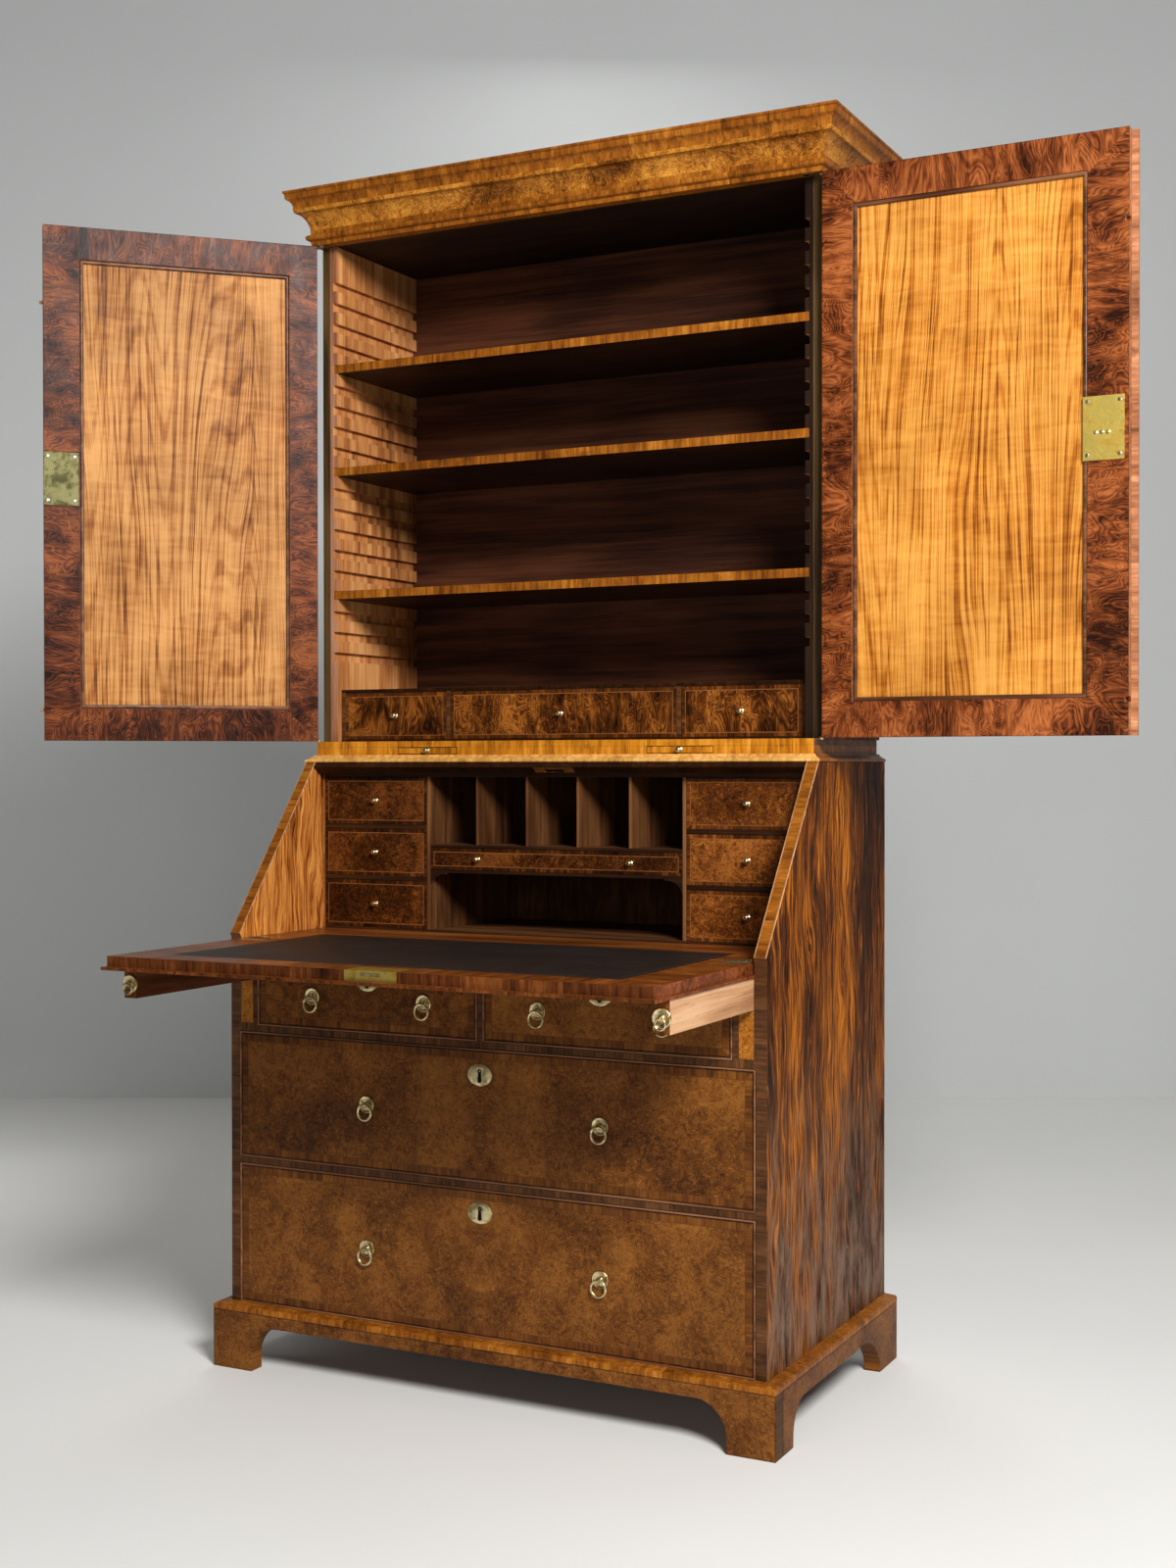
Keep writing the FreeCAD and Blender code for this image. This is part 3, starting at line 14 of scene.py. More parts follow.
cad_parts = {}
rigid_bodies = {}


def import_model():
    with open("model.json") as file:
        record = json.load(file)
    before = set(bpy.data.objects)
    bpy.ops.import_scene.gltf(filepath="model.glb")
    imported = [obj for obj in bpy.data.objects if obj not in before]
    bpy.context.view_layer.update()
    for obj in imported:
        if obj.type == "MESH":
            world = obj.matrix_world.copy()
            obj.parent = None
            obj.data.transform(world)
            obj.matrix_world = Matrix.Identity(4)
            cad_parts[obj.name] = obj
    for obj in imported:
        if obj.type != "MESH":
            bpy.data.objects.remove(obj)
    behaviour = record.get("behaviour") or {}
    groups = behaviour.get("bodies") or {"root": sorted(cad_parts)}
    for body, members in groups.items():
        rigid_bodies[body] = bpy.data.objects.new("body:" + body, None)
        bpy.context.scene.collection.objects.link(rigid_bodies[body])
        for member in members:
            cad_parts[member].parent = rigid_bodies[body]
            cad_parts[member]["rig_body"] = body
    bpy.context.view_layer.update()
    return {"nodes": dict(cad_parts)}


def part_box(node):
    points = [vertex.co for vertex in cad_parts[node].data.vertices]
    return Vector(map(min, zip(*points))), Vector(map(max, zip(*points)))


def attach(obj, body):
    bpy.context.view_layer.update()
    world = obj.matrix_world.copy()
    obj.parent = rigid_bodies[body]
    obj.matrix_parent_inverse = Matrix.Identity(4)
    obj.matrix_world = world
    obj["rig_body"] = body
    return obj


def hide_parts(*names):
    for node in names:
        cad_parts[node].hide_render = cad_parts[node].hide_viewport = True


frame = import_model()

MM = 0.001
FACING = 0.7
SOFT_ANGLE = math.radians(38)
STRIP_RUN = 0.085
PIVOT_X = 0.497
PIVOT_Y = -0.0217
POLISH_ROUGH = 0.16
VENEER_SHEEN = 0.1
BOARD_SHEEN = 0.2
DULL_SHEEN = 0.03

log = logging.getLogger("bureau_bookcase")

Colour = tuple[float, float, float, float]
Triple = tuple[float, float, float]
Socket = bpy.types.NodeSocket
ACROSS: Triple = (1.0, 0.0, 0.0)
DEEP: Triple = (0.0, 1.0, 0.0)
FORWARD: Triple = (0.0, -1.0, 0.0)
UPRIGHT: Triple = (0.0, 0.0, 1.0)


def tint(red: float, green: float, blue: float) -> Colour:
    """Turns screen values from 0 to 255 into a linear colour.

    Args:
        red: Screen red.
        green: Screen green.
        blue: Screen blue.

    Returns:
        The colour with full alpha.
    """
    def linear(value: float) -> float:
        """Screen value to linear light."""
        share = value / 255
        return share / 12.92 if share <= 0.04045 else ((share + 0.055) / 1.055) ** 2.4

    return (linear(red), linear(green), linear(blue), 1.0)


class Axis(Enum):
    """Direction that the grain of a plain board runs in."""

    X = (1, 2, 0)
    Y = (2, 0, 1)
    Z = (0, 1, 2)


class Figure(Enum):
    """Figure of a sheet of veneer."""

    BURR = "burr"
    SWIRL = "swirl"
    RIPPLE = "ripple"
    CROSS = "cross"


@dataclass(frozen=True)
class Face:
    """A flat rectangle on a piece, which a veneer is laid out on.

    Attributes:
        corner: Its low corner.
        across: Unit direction of its width.
        up: Unit direction of its height.
        width: Its width.
        height: Its height.
    """

    corner: Triple
    across: Triple
    up: Triple
    width: float
    height: float


def front_of(low: Vector, high: Vector) -> Face:
    """Gives the front rectangle of a box, across X and up Z."""
    return Face((low.x, 0.0, low.z), ACROSS, UPRIGHT, high.x - low.x, high.z - low.z)


class Bench:
    """Lays out the nodes of one material."""

    def __init__(self, name: str) -> None:
        """Starts an empty material.

        Args:
            name: Name of the material.
        """
        self.material = bpy.data.materials.new(name)
        self.material.use_nodes = True
        self.tree = self.material.node_tree
        self.tree.nodes.clear()
        self.place = self.node("ShaderNodeTexCoord").outputs["Object"]

    def node(self, kind: str, inputs: Optional[dict] = None, **settings: object) -> bpy.types.Node:
        """Adds a node and feeds it.

        Args:
            kind: Type of the node.
            inputs: An output socket, number or tuple for each input, by its name or number.
            **settings: The node's properties.

        Returns:
            The node.
        """
        made = self.tree.nodes.new(kind)
        for name, value in settings.items():
            setattr(made, name, value)
        for name, value in (inputs or {}).items():
            if isinstance(value, bpy.types.NodeSocket):
                self.tree.links.new(value, made.inputs[name])
            else:
                made.inputs[name].default_value = value
        return made

    def math(self, kind: str, first: object, second: object = 0.0, third: object = 0.0) -> Socket:
        """Works out a number.

        Args:
            kind: Operation.
            first: First number.
            second: Second number.
            third: Third number.

        Returns:
            The result.
        """
        return self.node("ShaderNodeMath", {0: first, 1: second, 2: third}, operation=kind).outputs[0]

    def vector(self, kind: str, first: object, second: object) -> Socket:
        """Works out a vector.

        Args:
            kind: Operation.
            first: First vector.
            second: Second vector, or the factor of SCALE.

        Returns:
            The result.
        """
        other = "Scale" if kind == "SCALE" else 1
        made = self.node("ShaderNodeVectorMath", {0: first, other: second}, operation=kind)
        return made.outputs["Value" if kind == "DOT_PRODUCT" else "Vector"]

    def combine(self, parts: Sequence[object]) -> Socket:
        """Joins three numbers to a vector."""
        return self.node("ShaderNodeCombineXYZ", dict(enumerate(parts))).outputs[0]

    def split(self, where: Socket) -> Sequence[Socket]:
        """Takes places apart into their three numbers."""
        return self.node("ShaderNodeSeparateXYZ", {0: where}).outputs

    def noise(
        self, where: Socket, scale: float, detail: float = 4.0, rough: float = 0.5, bend: float = 0.0
    ) -> Socket:
        """Gives a cloudy value.

        Args:
            where: Place to read.
            scale: Clouds to the metre.
            detail: Octaves.
            rough: Weight of the finer octaves.
            bend: Distortion.

        Returns:
            The value, near a half.
        """
        values = {"Vector": where, "Scale": scale, "Detail": detail, "Roughness": rough, "Distortion": bend}
        return self.node("ShaderNodeTexNoise", values).outputs["Fac"]

    def warped(self, where: Socket, scale: float, reach: float) -> Socket:
        """Pushes places about by a cloudy amount.

        Args:
            where: Places to push.
            scale: Clouds to the metre.
            reach: Longest push.

        Returns:
            The pushed places.
        """
        push = self.node("ShaderNodeTexNoise", {"Vector": where, "Scale": scale, "Detail": 3.0})
        return self.vector("ADD", where, self.vector("SCALE", push.outputs["Color"], reach))

    def cells(self, where: Socket, scale: float) -> Socket:
        """Gives the distance to the nearest of scattered points.

        Args:
            where: Place to read.
            scale: Points to the metre.

        Returns:
            The distance in cells.
        """
        return self.node("ShaderNodeTexVoronoi", {"Vector": where, "Scale": scale}).outputs["Distance"]

    def chance(self, number: object) -> Socket:
        """Gives a random value for each whole number."""
        return self.node("ShaderNodeTexWhiteNoise", {"W": number}, noise_dimensions="1D").outputs["Value"]

    def band(self, value: object, low: float, high: float) -> Socket:
        """Stretches a range to run smoothly from 0 to 1.

        Args:
            value: Number to read.
            low: Value that gives 0.
            high: Value that gives 1.

        Returns:
            The share.
        """
        values = {"Value": value, "From Min": low, "From Max": high}
        return self.node("ShaderNodeMapRange", values, interpolation_type="SMOOTHSTEP").outputs["Result"]

    def mixed(self, *parts: tuple[Socket, float]) -> Socket:
        """Adds up numbers, each times its weight, in their order."""
        (first, weight), *others = parts
        total = self.math("MULTIPLY", first, weight)
        for value, weight in others:
            total = self.math("MULTIPLY_ADD", value, weight, total)
        return total

    def uneven(self, mean: float, scale: float, swing: float, detail: float = 4.0) -> Socket:
        """Gives a roughness that wanders from place to place.

        Args:
            mean: Its mean.
            scale: Clouds to the metre.
            swing: Width of its range.
            detail: Octaves.

        Returns:
            The roughness.
        """
        return self.math("MULTIPLY_ADD", self.noise(self.place, scale, detail, 0.6), swing, mean - swing / 2)

    def measure(self, face: Face) -> tuple[Socket, Socket, Socket, Socket]:
        """Measures places on a rectangle.

        Args:
            face: The rectangle.

        Returns:
            Distances across, up, to the nearer side and to the nearer end.
        """
        rest = self.vector("SUBTRACT", self.place, face.corner)
        across = self.vector("DOT_PRODUCT", rest, face.across)
        upward = self.vector("DOT_PRODUCT", rest, face.up)
        side_gap = self.math("MINIMUM", across, self.math("SUBTRACT", face.width, across))
        end_gap = self.math("MINIMUM", upward, self.math("SUBTRACT", face.height, upward))
        return across, upward, side_gap, end_gap

    def blend(self, share: object, first: object, second: object) -> Socket:
        """Blends two colours.

        Args:
            share: Share of the second.
            first: First colour.
            second: Second colour.

        Returns:
            The colour.
        """
        return self.node("ShaderNodeMix", {"Factor": share, 6: first, 7: second}, data_type="RGBA").outputs[2]

    def shade(self, share: object, colour: object, factor: float) -> Socket:
        """Darkens or lightens a colour.

        Args:
            share: Where to do so, from 0 to 1.
            colour: Colour to change.
            factor: Its brightness there.

        Returns:
            The colour.
        """
        base = colour[:3] if isinstance(colour, tuple) else colour
        return self.blend(share, colour, self.vector("SCALE", base, factor))

    def ramp(self, value: Socket, stops: Sequence[tuple[float, Colour]]) -> Socket:
        """Turns a number into a colour.

        Args:
            value: Number from 0 to 1.
            stops: Places and colours in rising order.

        Returns:
            The colour.
        """
        made = self.node("ShaderNodeValToRGB", {"Fac": value})
        elements = made.color_ramp.elements
        while len(elements) < len(stops):
            elements.new(1.0)
        for element, (place, colour) in zip(elements, stops):
            element.position = place
            element.color = colour
        return made.outputs["Color"]

    def finish(
        self,
        colour: Socket,
        rough: Socket,
        height: Socket,
        depth: float,
        one_sided: bool = False,
        **values: float,
    ) -> bpy.types.Material:
        """Ends the material with its surface.

        Args:
            colour: Base colour.
            rough: Roughness.
            height: Height for the bump, from 0 to 1.
            depth: Depth of the bump.
            one_sided: Whether the surface is clear from behind.
            **values: Constants of the shader, by name with _ for a space.

        Returns:
            The material.
        """
        bump = self.node("ShaderNodeBump", {"Strength": 1.0, "Distance": depth, "Height": height})
        inputs = {"Base Color": colour, "Roughness": rough, "Normal": bump.outputs["Normal"]}
        shader = self.node("ShaderNodeBsdfPrincipled", inputs)
        for name, value in values.items():
            shader.inputs[name.replace("_", " ")].default_value = value
        surface = shader.outputs["BSDF"]
        if one_sided:
            behind = self.node("ShaderNodeNewGeometry").outputs["Backfacing"]
            clear = self.node("ShaderNodeBsdfTransparent").outputs[0]
            surface = self.node("ShaderNodeMixShader", {0: behind, 1: surface, 2: clear}).outputs[0]
        self.node("ShaderNodeOutputMaterial", {"Surface": surface})
        return self.material


class Grain:
    """Draws the figures of wood on a bench.

    Every figure gives its tone, from 0, dark, to 1, light, and its height.
    """

    def __init__(self, bench: Bench) -> None:
        """Keeps the bench.

        Args:
            bench: Bench of the material.
        """
        self.bench = bench

    def along(self, where: Socket, axis: Axis) -> Socket:
        """Turns places so that the third value runs along the grain.

        Args:
            where: Places to turn.
            axis: Direction of the grain.

        Returns:
            The turned places.
        """
        parts = self.bench.split(where)
        return self.bench.combine([parts[index] for index in axis.value])

    def stretched(self, where: Socket, share: float) -> Socket:
        """Shrinks places along the third value, which draws a pattern out."""
        return self.bench.vector("MULTIPLY", where, (1.0, 1.0, share))

    def board(self, where: Socket, spread: float = 1.0) -> tuple[Socket, Socket]:
        """Plain long grain with rings, fibres and pores.

        Args:
            where: Places with the grain along the third value.
            spread: Width of the rings, as a multiple of the usual.

        Returns:
            Tone and height.
        """
        bench = self.bench
        drift = bench.noise(self.stretched(where, 0.12), 7.0 / spread, 3.0, 0.5, 0.6)
        rings = bench.math("SINE", bench.math("MULTIPLY", drift, 42.0))
        rings = bench.math("MULTIPLY_ADD", rings, 0.16, 0.5)
        streak = bench.noise(self.stretched(where, 0.05), 60.0, 5.0, 0.62)
        fibre = bench.noise(self.stretched(where, 0.02), 420.0, 3.0, 0.6)
        cloud = bench.noise(where, 3.2, 2.0)
        tone = bench.mixed((rings, 0.42), (streak, 0.62), (fibre, 0.34), (cloud, 0.42))
        return bench.band(tone, 0.55, 1.2), fibre

    def burr(self, where: Socket, size: float = 1.0) -> tuple[Socket, Socket]:
        """Curls, clouds and eyes of a burr.

        Args:
            where: Places on the veneer.
            size: Size of its curls, as a multiple of the usual.

        Returns:
            Tone and height.
        """
        bench = self.bench
        bent = bench.warped(where, 22.0 / size, 0.045 * size)
        flow = bench.noise(bent, 26.0 / size, 4.0, 0.6, 0.9)
        curls = bench.math("SINE", bench.math("MULTIPLY", flow, 70.0))
        fine = bench.noise(bent, 190.0 / size, 6.0, 0.72, 1.4)
        mottle = bench.noise(bent, 60.0 / size, 4.0, 0.6, 0.8)
        cloud = bench.noise(where, 7.0, 3.0, 0.55, 0.5)
        eyes = bench.band(bench.cells(bent, 40.0 / size), 0.04, 0.17)
        waves = bench.noise(bent, 66.0 / size, 3.0, 0.6, 1.6)
        ridge = bench.math("ABSOLUTE", bench.math("SUBTRACT", waves, 0.5))
        veins = bench.band(ridge, 0.035, 0.0)
        tone = bench.mixed((fine, 0.6), (curls, 0.05), (mottle, 0.5), (veins, 0.16), (cloud, 0.8))
        dots = bench.math("MULTIPLY_ADD", eyes, 0.22, 0.78)
        tone = bench.math("MULTIPLY", bench.band(tone, 0.62, 1.34), dots)
        return tone, fine

    def swirl(self, where: Socket, size: float = 1.0) -> tuple[Socket, Socket]:
        """Bold dark curls between plainer ground, as beside a crotch.

        Args:
            where: Places on the veneer, with the grain along the third value.
            size: Size of its curls, as a multiple of the usual.

        Returns:
            Tone and height.
        """
        bench = self.bench
        bent = bench.warped(self.stretched(where, 0.4), 8.0 / size, 0.1 * size)
        flow = bench.noise(bent, 9.0 / size, 3.0, 0.5, 0.7)
        lines = bench.math("SINE", bench.math("MULTIPLY", flow, 330.0))
        broad = bench.math("SINE", bench.math("MULTIPLY", flow, 34.0))
        fine = bench.noise(self.stretched(bent, 0.35), 210.0, 6.0, 0.7, 0.6)
        cloud = bench.noise(where, 8.0 / size, 3.0, 0.55)
        tone = bench.mixed((fine, 0.75), (lines, 0.085), (broad, 0.07), (cloud, 0.8))
        return bench.band(tone, 0.46, 1.16), fine

    def ripple(self, where: Socket) -> tuple[Socket, Socket]:
        """Long wavering lines with a few knots, as on ash or olive panels.

        Args:
            where: Places with the grain along the third value.

        Returns:
            Tone and height.
        """
        bench = self.bench
        knots = bench.cells(self.stretched(where, 0.45), 4.2)
        ring = bench.math("SUBTRACT", 1.0, bench.band(knots, 0.02, 0.16))
        sway = bench.noise(self.stretched(where, 0.22), 4.0, 3.0, 0.45)
        parts = bench.split(where)
        across = bench.math("MULTIPLY_ADD", sway, 0.13, parts[0])
        across = bench.math("MULTIPLY_ADD", ring, 0.01, across)
        place = bench.combine([across, parts[1], bench.math("MULTIPLY", parts[2], 0.009)])
        coarse = bench.band(bench.noise(place, 210.0, 3.0, 0.6), 0.36, 0.52)
        thin = bench.noise(place, 620.0, 2.0, 0.6)
        arch = bench.noise(self.stretched(where, 0.05), 5.0, 1.0, 0.3, 0.2)
        rings = bench.band(bench.math("SINE", bench.math("MULTIPLY", arch, 620.0)), 0.3, 1.0)
        flare = bench.noise(bench.vector("MULTIPLY", where, (0.22, 1.0, 1.0)), 62.0, 3.0, 0.6, 0.6)
        cloud = bench.noise(self.stretched(where, 0.45), 9.0, 4.0, 0.55, 0.4)
        tone = bench.mixed((thin, 0.5), (coarse, 0.2), (flare, 0.3), (rings, -0.1), (cloud, 0.5))
        eye = bench.band(knots, 0.012, 0.075)
        tone = bench.math("MULTIPLY", bench.band(tone, 0.42, 1.02), bench.math("MULTIPLY_ADD", eye, 0.5, 0.5))
        return tone, thin

    def streak(self, where: Socket) -> tuple[Socket, Socket]:
        """Wavering broken streaks with dark wisps, as on old solid-looking sides.

        Args:
            where: Places with the grain along the third value.

        Returns:
            Tone and height.
        """
        bench = self.bench
        sway = bench.noise(self.stretched(where, 0.4), 10.0, 3.0, 0.5)
        parts = bench.split(where)
        across = bench.math("MULTIPLY_ADD", sway, 0.09, parts[1])
        place = bench.combine([parts[0], across, bench.math("MULTIPLY", parts[2], 0.045)])
        broad = bench.noise(place, 34.0, 4.0, 0.6, 0.3)
        wisp = bench.noise(place, 190.0, 6.0, 0.74, 0.4)
        fine = bench.noise(self.stretched(place, 0.4), 420.0, 4.0, 0.7)
        smoke = bench.noise(self.stretched(where, 0.25), 9.0, 4.0, 0.6, 0.5)
        knots = bench.band(bench.cells(self.stretched(where, 0.4), 4.6), 0.03, 0.17)
        tone = bench.mixed((wisp, 1.1), (broad, 0.34), (fine, 0.5), (smoke, 0.5))
        tone = bench.math("MULTIPLY", bench.band(tone, 1.0, 1.5), bench.math("MULTIPLY_ADD", knots, 0.5, 0.5))
        return tone, fine

    def cross(self, where: Socket, run: float = STRIP_RUN) -> tuple[Socket, Socket]:
        """Short lengths of cross-cut veneer laid end to end along the first value.

        Args:
            where: Places with the band's run along the first value.
            run: Length of one strip.

        Returns:
            Tone and height.
        """
        bench = self.bench
        parts = bench.split(where)
        strip = bench.math("FLOOR", bench.math("DIVIDE", parts[0], run))
        luck = bench.chance(strip)
        shifted = bench.combine([parts[0], parts[1], bench.math("MULTIPLY_ADD", luck, 0.7, parts[2])])
        streak = bench.noise(self.stretched(shifted, 0.1), 120.0, 5.0, 0.68, 0.3)
        fine = bench.noise(self.stretched(shifted, 0.04), 520.0, 3.0, 0.6)
        cloud = bench.noise(shifted, 18.0, 3.0, 0.5)
        tone = bench.mixed((fine, 0.35), (streak, 0.95), (cloud, 0.45), (luck, 0.11))
        return bench.band(tone, 0.5, 1.5), fine

    def figure(self, kind: Figure, where: Socket, size: float) -> tuple[Socket, Socket]:
        """Draws one of the figures of a veneer.

        Args:
            kind: Which figure.
            where: Places on the veneer.
            size: Size of its curls.

        Returns:
            Tone and height.
        """
        if kind is Figure.BURR:
            return self.burr(where, size)
        if kind is Figure.SWIRL:
            return self.swirl(where, size)
        return self.ripple(where) if kind is Figure.RIPPLE else self.cross(where)


@dataclass(frozen=True)
class Palette:
    """Dark, middle and light colour of a wood."""

    dark: Colour
    middle: Colour
    light: Colour

    def stops(self) -> list[tuple[float, Colour]]:
        """Gives the colours as stops of a ramp."""
        return [(0.04, self.dark), (0.46, self.middle), (0.97, self.light)]


WALNUT = Palette(tint(40, 17, 6), tint(106, 54, 20), tint(168, 98, 40))
SIDE = Palette(tint(22, 9, 2), tint(94, 44, 7), tint(200, 116, 26))
CHEEK = Palette(tint(70, 30, 8), tint(176, 98, 38), tint(236, 160, 78))
LINING = Palette(tint(104, 56, 26), tint(190, 120, 66), tint(228, 166, 104))
# Copy of the gold panel wood retoned for the left door: painted haze and shade.
LEFT_GOLD_PAINTED_LIGHT = Palette(tint(100, 52, 17), tint(174, 108, 50), tint(220, 160, 94))
GOLD_BURR = Palette(tint(62, 30, 6), tint(148, 86, 24), tint(214, 148, 58))
HONEY = Palette(tint(76, 36, 7), tint(150, 86, 24), tint(204, 138, 52))
DUSKY = Palette(tint(20, 9, 3), tint(46, 24, 10), tint(76, 44, 20))
FALL = Palette(tint(48, 21, 6), tint(124, 66, 24), tint(184, 112, 48))
GOLD = Palette(tint(112, 54, 12), tint(190, 114, 36), tint(230, 162, 74))
SUNNY = Palette(tint(126, 68, 10), tint(206, 130, 30), tint(240, 178, 76))
RUSSET = Palette(tint(42, 17, 8), tint(122, 60, 27), tint(182, 104, 54))
LONG_BURR = Palette(tint(54, 27, 8), tint(108, 62, 22), tint(152, 96, 38))
BURR_DARK = Palette(tint(40, 18, 5), tint(104, 56, 22), tint(156, 94, 40))
BURR_WARM = Palette(tint(20, 8, 2), tint(66, 31, 9), tint(142, 80, 32))
BURR_DEEP = Palette(tint(26, 10, 2), tint(92, 46, 13), tint(176, 104, 38))
# Near-black shelf wood: painted shade under the shelves.
SHELF_SHADED = Palette(tint(14, 6, 3), tint(38, 18, 9), tint(66, 36, 19))
INNER = Palette(tint(40, 20, 9), tint(84, 50, 26), tint(124, 80, 44))
# Dark old wood of the backs, darkened further as painted shade inside the bookcase.
SMOKED_AND_SHADED = Palette(tint(28, 12, 6), tint(70, 36, 21), tint(106, 60, 36))
# Near-black wood for the bookcase's roof: painted shade under the cornice.
ROOF = Palette(tint(12, 6, 3), tint(30, 15, 8), tint(48, 26, 14))
# Dark copy of the lopers' wood: painted shade of the fall above them.
LOPER_SHADED = Palette(tint(30, 13, 6), tint(74, 38, 20), tint(112, 64, 36))
FALL_EDGE = Palette(tint(38, 16, 6), tint(98, 50, 20), tint(154, 90, 42))
# Darker copy of the russet frame wood for the left door: painted shade.
LEFT_RUSSET_SHADED = Palette(tint(28, 10, 5), tint(96, 45, 21), tint(158, 88, 47))
WORN_GOLD = Palette(tint(168, 108, 44), tint(226, 168, 88), tint(246, 210, 146))
# Lighter copy of the desk drawers' burr: painted light on the right column.
BURR_LIT = Palette(tint(40, 17, 5), tint(108, 55, 17), tint(196, 118, 50))
# Pale wood; the lopers' outer sides take it as painted light and sheen.
PALE = Palette(tint(150, 102, 68), tint(202, 150, 108), tint(228, 184, 142))
INNER_EDGE = Palette(tint(56, 30, 14), tint(104, 62, 32), tint(146, 96, 54))
OAK = Palette(tint(84, 52, 26), tint(130, 88, 50), tint(164, 120, 74))
RAIL_WOOD = Palette(tint(40, 22, 10), tint(86, 52, 26), tint(126, 82, 44))
# Black: painted shadow inside a keyhole.
PAINTED_SHADOW_BLACK = Palette(tint(5, 3, 2), tint(11, 7, 5), tint(18, 12, 9))
# Near black: painted shadow of the gap outside a drawer's bead.
GAP_PAINTED_SHADOW = Palette(tint(8, 4, 2), tint(16, 9, 6), tint(24, 14, 9))
CASE_RIM = Palette(tint(30, 20, 10), tint(66, 48, 26), tint(100, 76, 44))
# Lighter copy of the bead wood: painted highlight on the beads round the drawers.
BEAD_LIT = Palette(tint(60, 32, 18), tint(116, 72, 46), tint(156, 106, 72))
BEAD_BROWN = Palette(tint(40, 20, 11), tint(84, 48, 28), tint(130, 84, 54))
WORN_PALE = Palette(tint(110, 62, 36), tint(176, 116, 78), tint(222, 170, 130))
LINING_RIM = Palette(tint(96, 54, 36), tint(150, 98, 70), tint(190, 140, 110))
# Near-black copy of the lining's edge wood: painted shade on the right lining.
LINING_SHADED = Palette(tint(14, 8, 5), tint(30, 18, 10), tint(46, 30, 18))
ROOF_RIM = Palette(tint(70, 52, 38), tint(112, 88, 68), tint(150, 122, 98))


@dataclass(frozen=True)
class BoardFinish:
    """Solid wood or long-grain veneer.

    Attributes:
        name: Name of the material.
        palette: Its colours.
        axis: Direction of the grain.
        spread: Width of its rings, as a multiple of the usual.
        rough: Mean roughness.
        coat: Weight of the polish.
        worn: Share of greying towards the bottom of the piece: dust, and painted reflection of the pale floor.
        streaky: Whether it has wavering streaks and dark wisps.
    """

    name: str
    palette: Palette
    axis: Axis
    spread: float = 1.0
    rough: float = 0.36
    coat: float = 0.035
    worn: float = 0.0
    streaky: bool = False

    def build(self) -> bpy.types.Material:
        """Makes the material."""
        bench = Bench(self.name)
        grain = Grain(bench)
        where = grain.along(bench.place, self.axis)
        tone, fibre = grain.streak(where) if self.streaky else grain.board(where, self.spread)
        colour = bench.ramp(tone, self.palette.stops())
        pores = bench.noise(grain.stretched(where, 0.03), 900.0, 2.0, 0.6)
        colour = bench.shade(bench.band(pores, 0.62, 0.7), colour, 0.62)
        # Greyer towards the bottom, in patches: dust, and painted reflection of the pale floor.
        if self.worn:
            low = bench.band(bench.split(bench.place)[2], 0.7, 0.12)
            patch = bench.band(bench.noise(grain.stretched(where, 0.3), 40.0, 6.0, 0.72), 0.36, 0.66)
            haze_and_dust_share = bench.math("MULTIPLY", bench.math("MULTIPLY", low, patch), self.worn)
            colour = bench.blend(haze_and_dust_share, colour, tint(132, 104, 84))
        return bench.finish(
            colour, bench.uneven(self.rough, 14.0, 0.22), fibre, 0.0004, Coat_Weight=self.coat,
            Coat_Roughness=POLISH_ROUGH, Specular_IOR_Level=DULL_SHEEN if self.streaky else BOARD_SHEEN,
        )


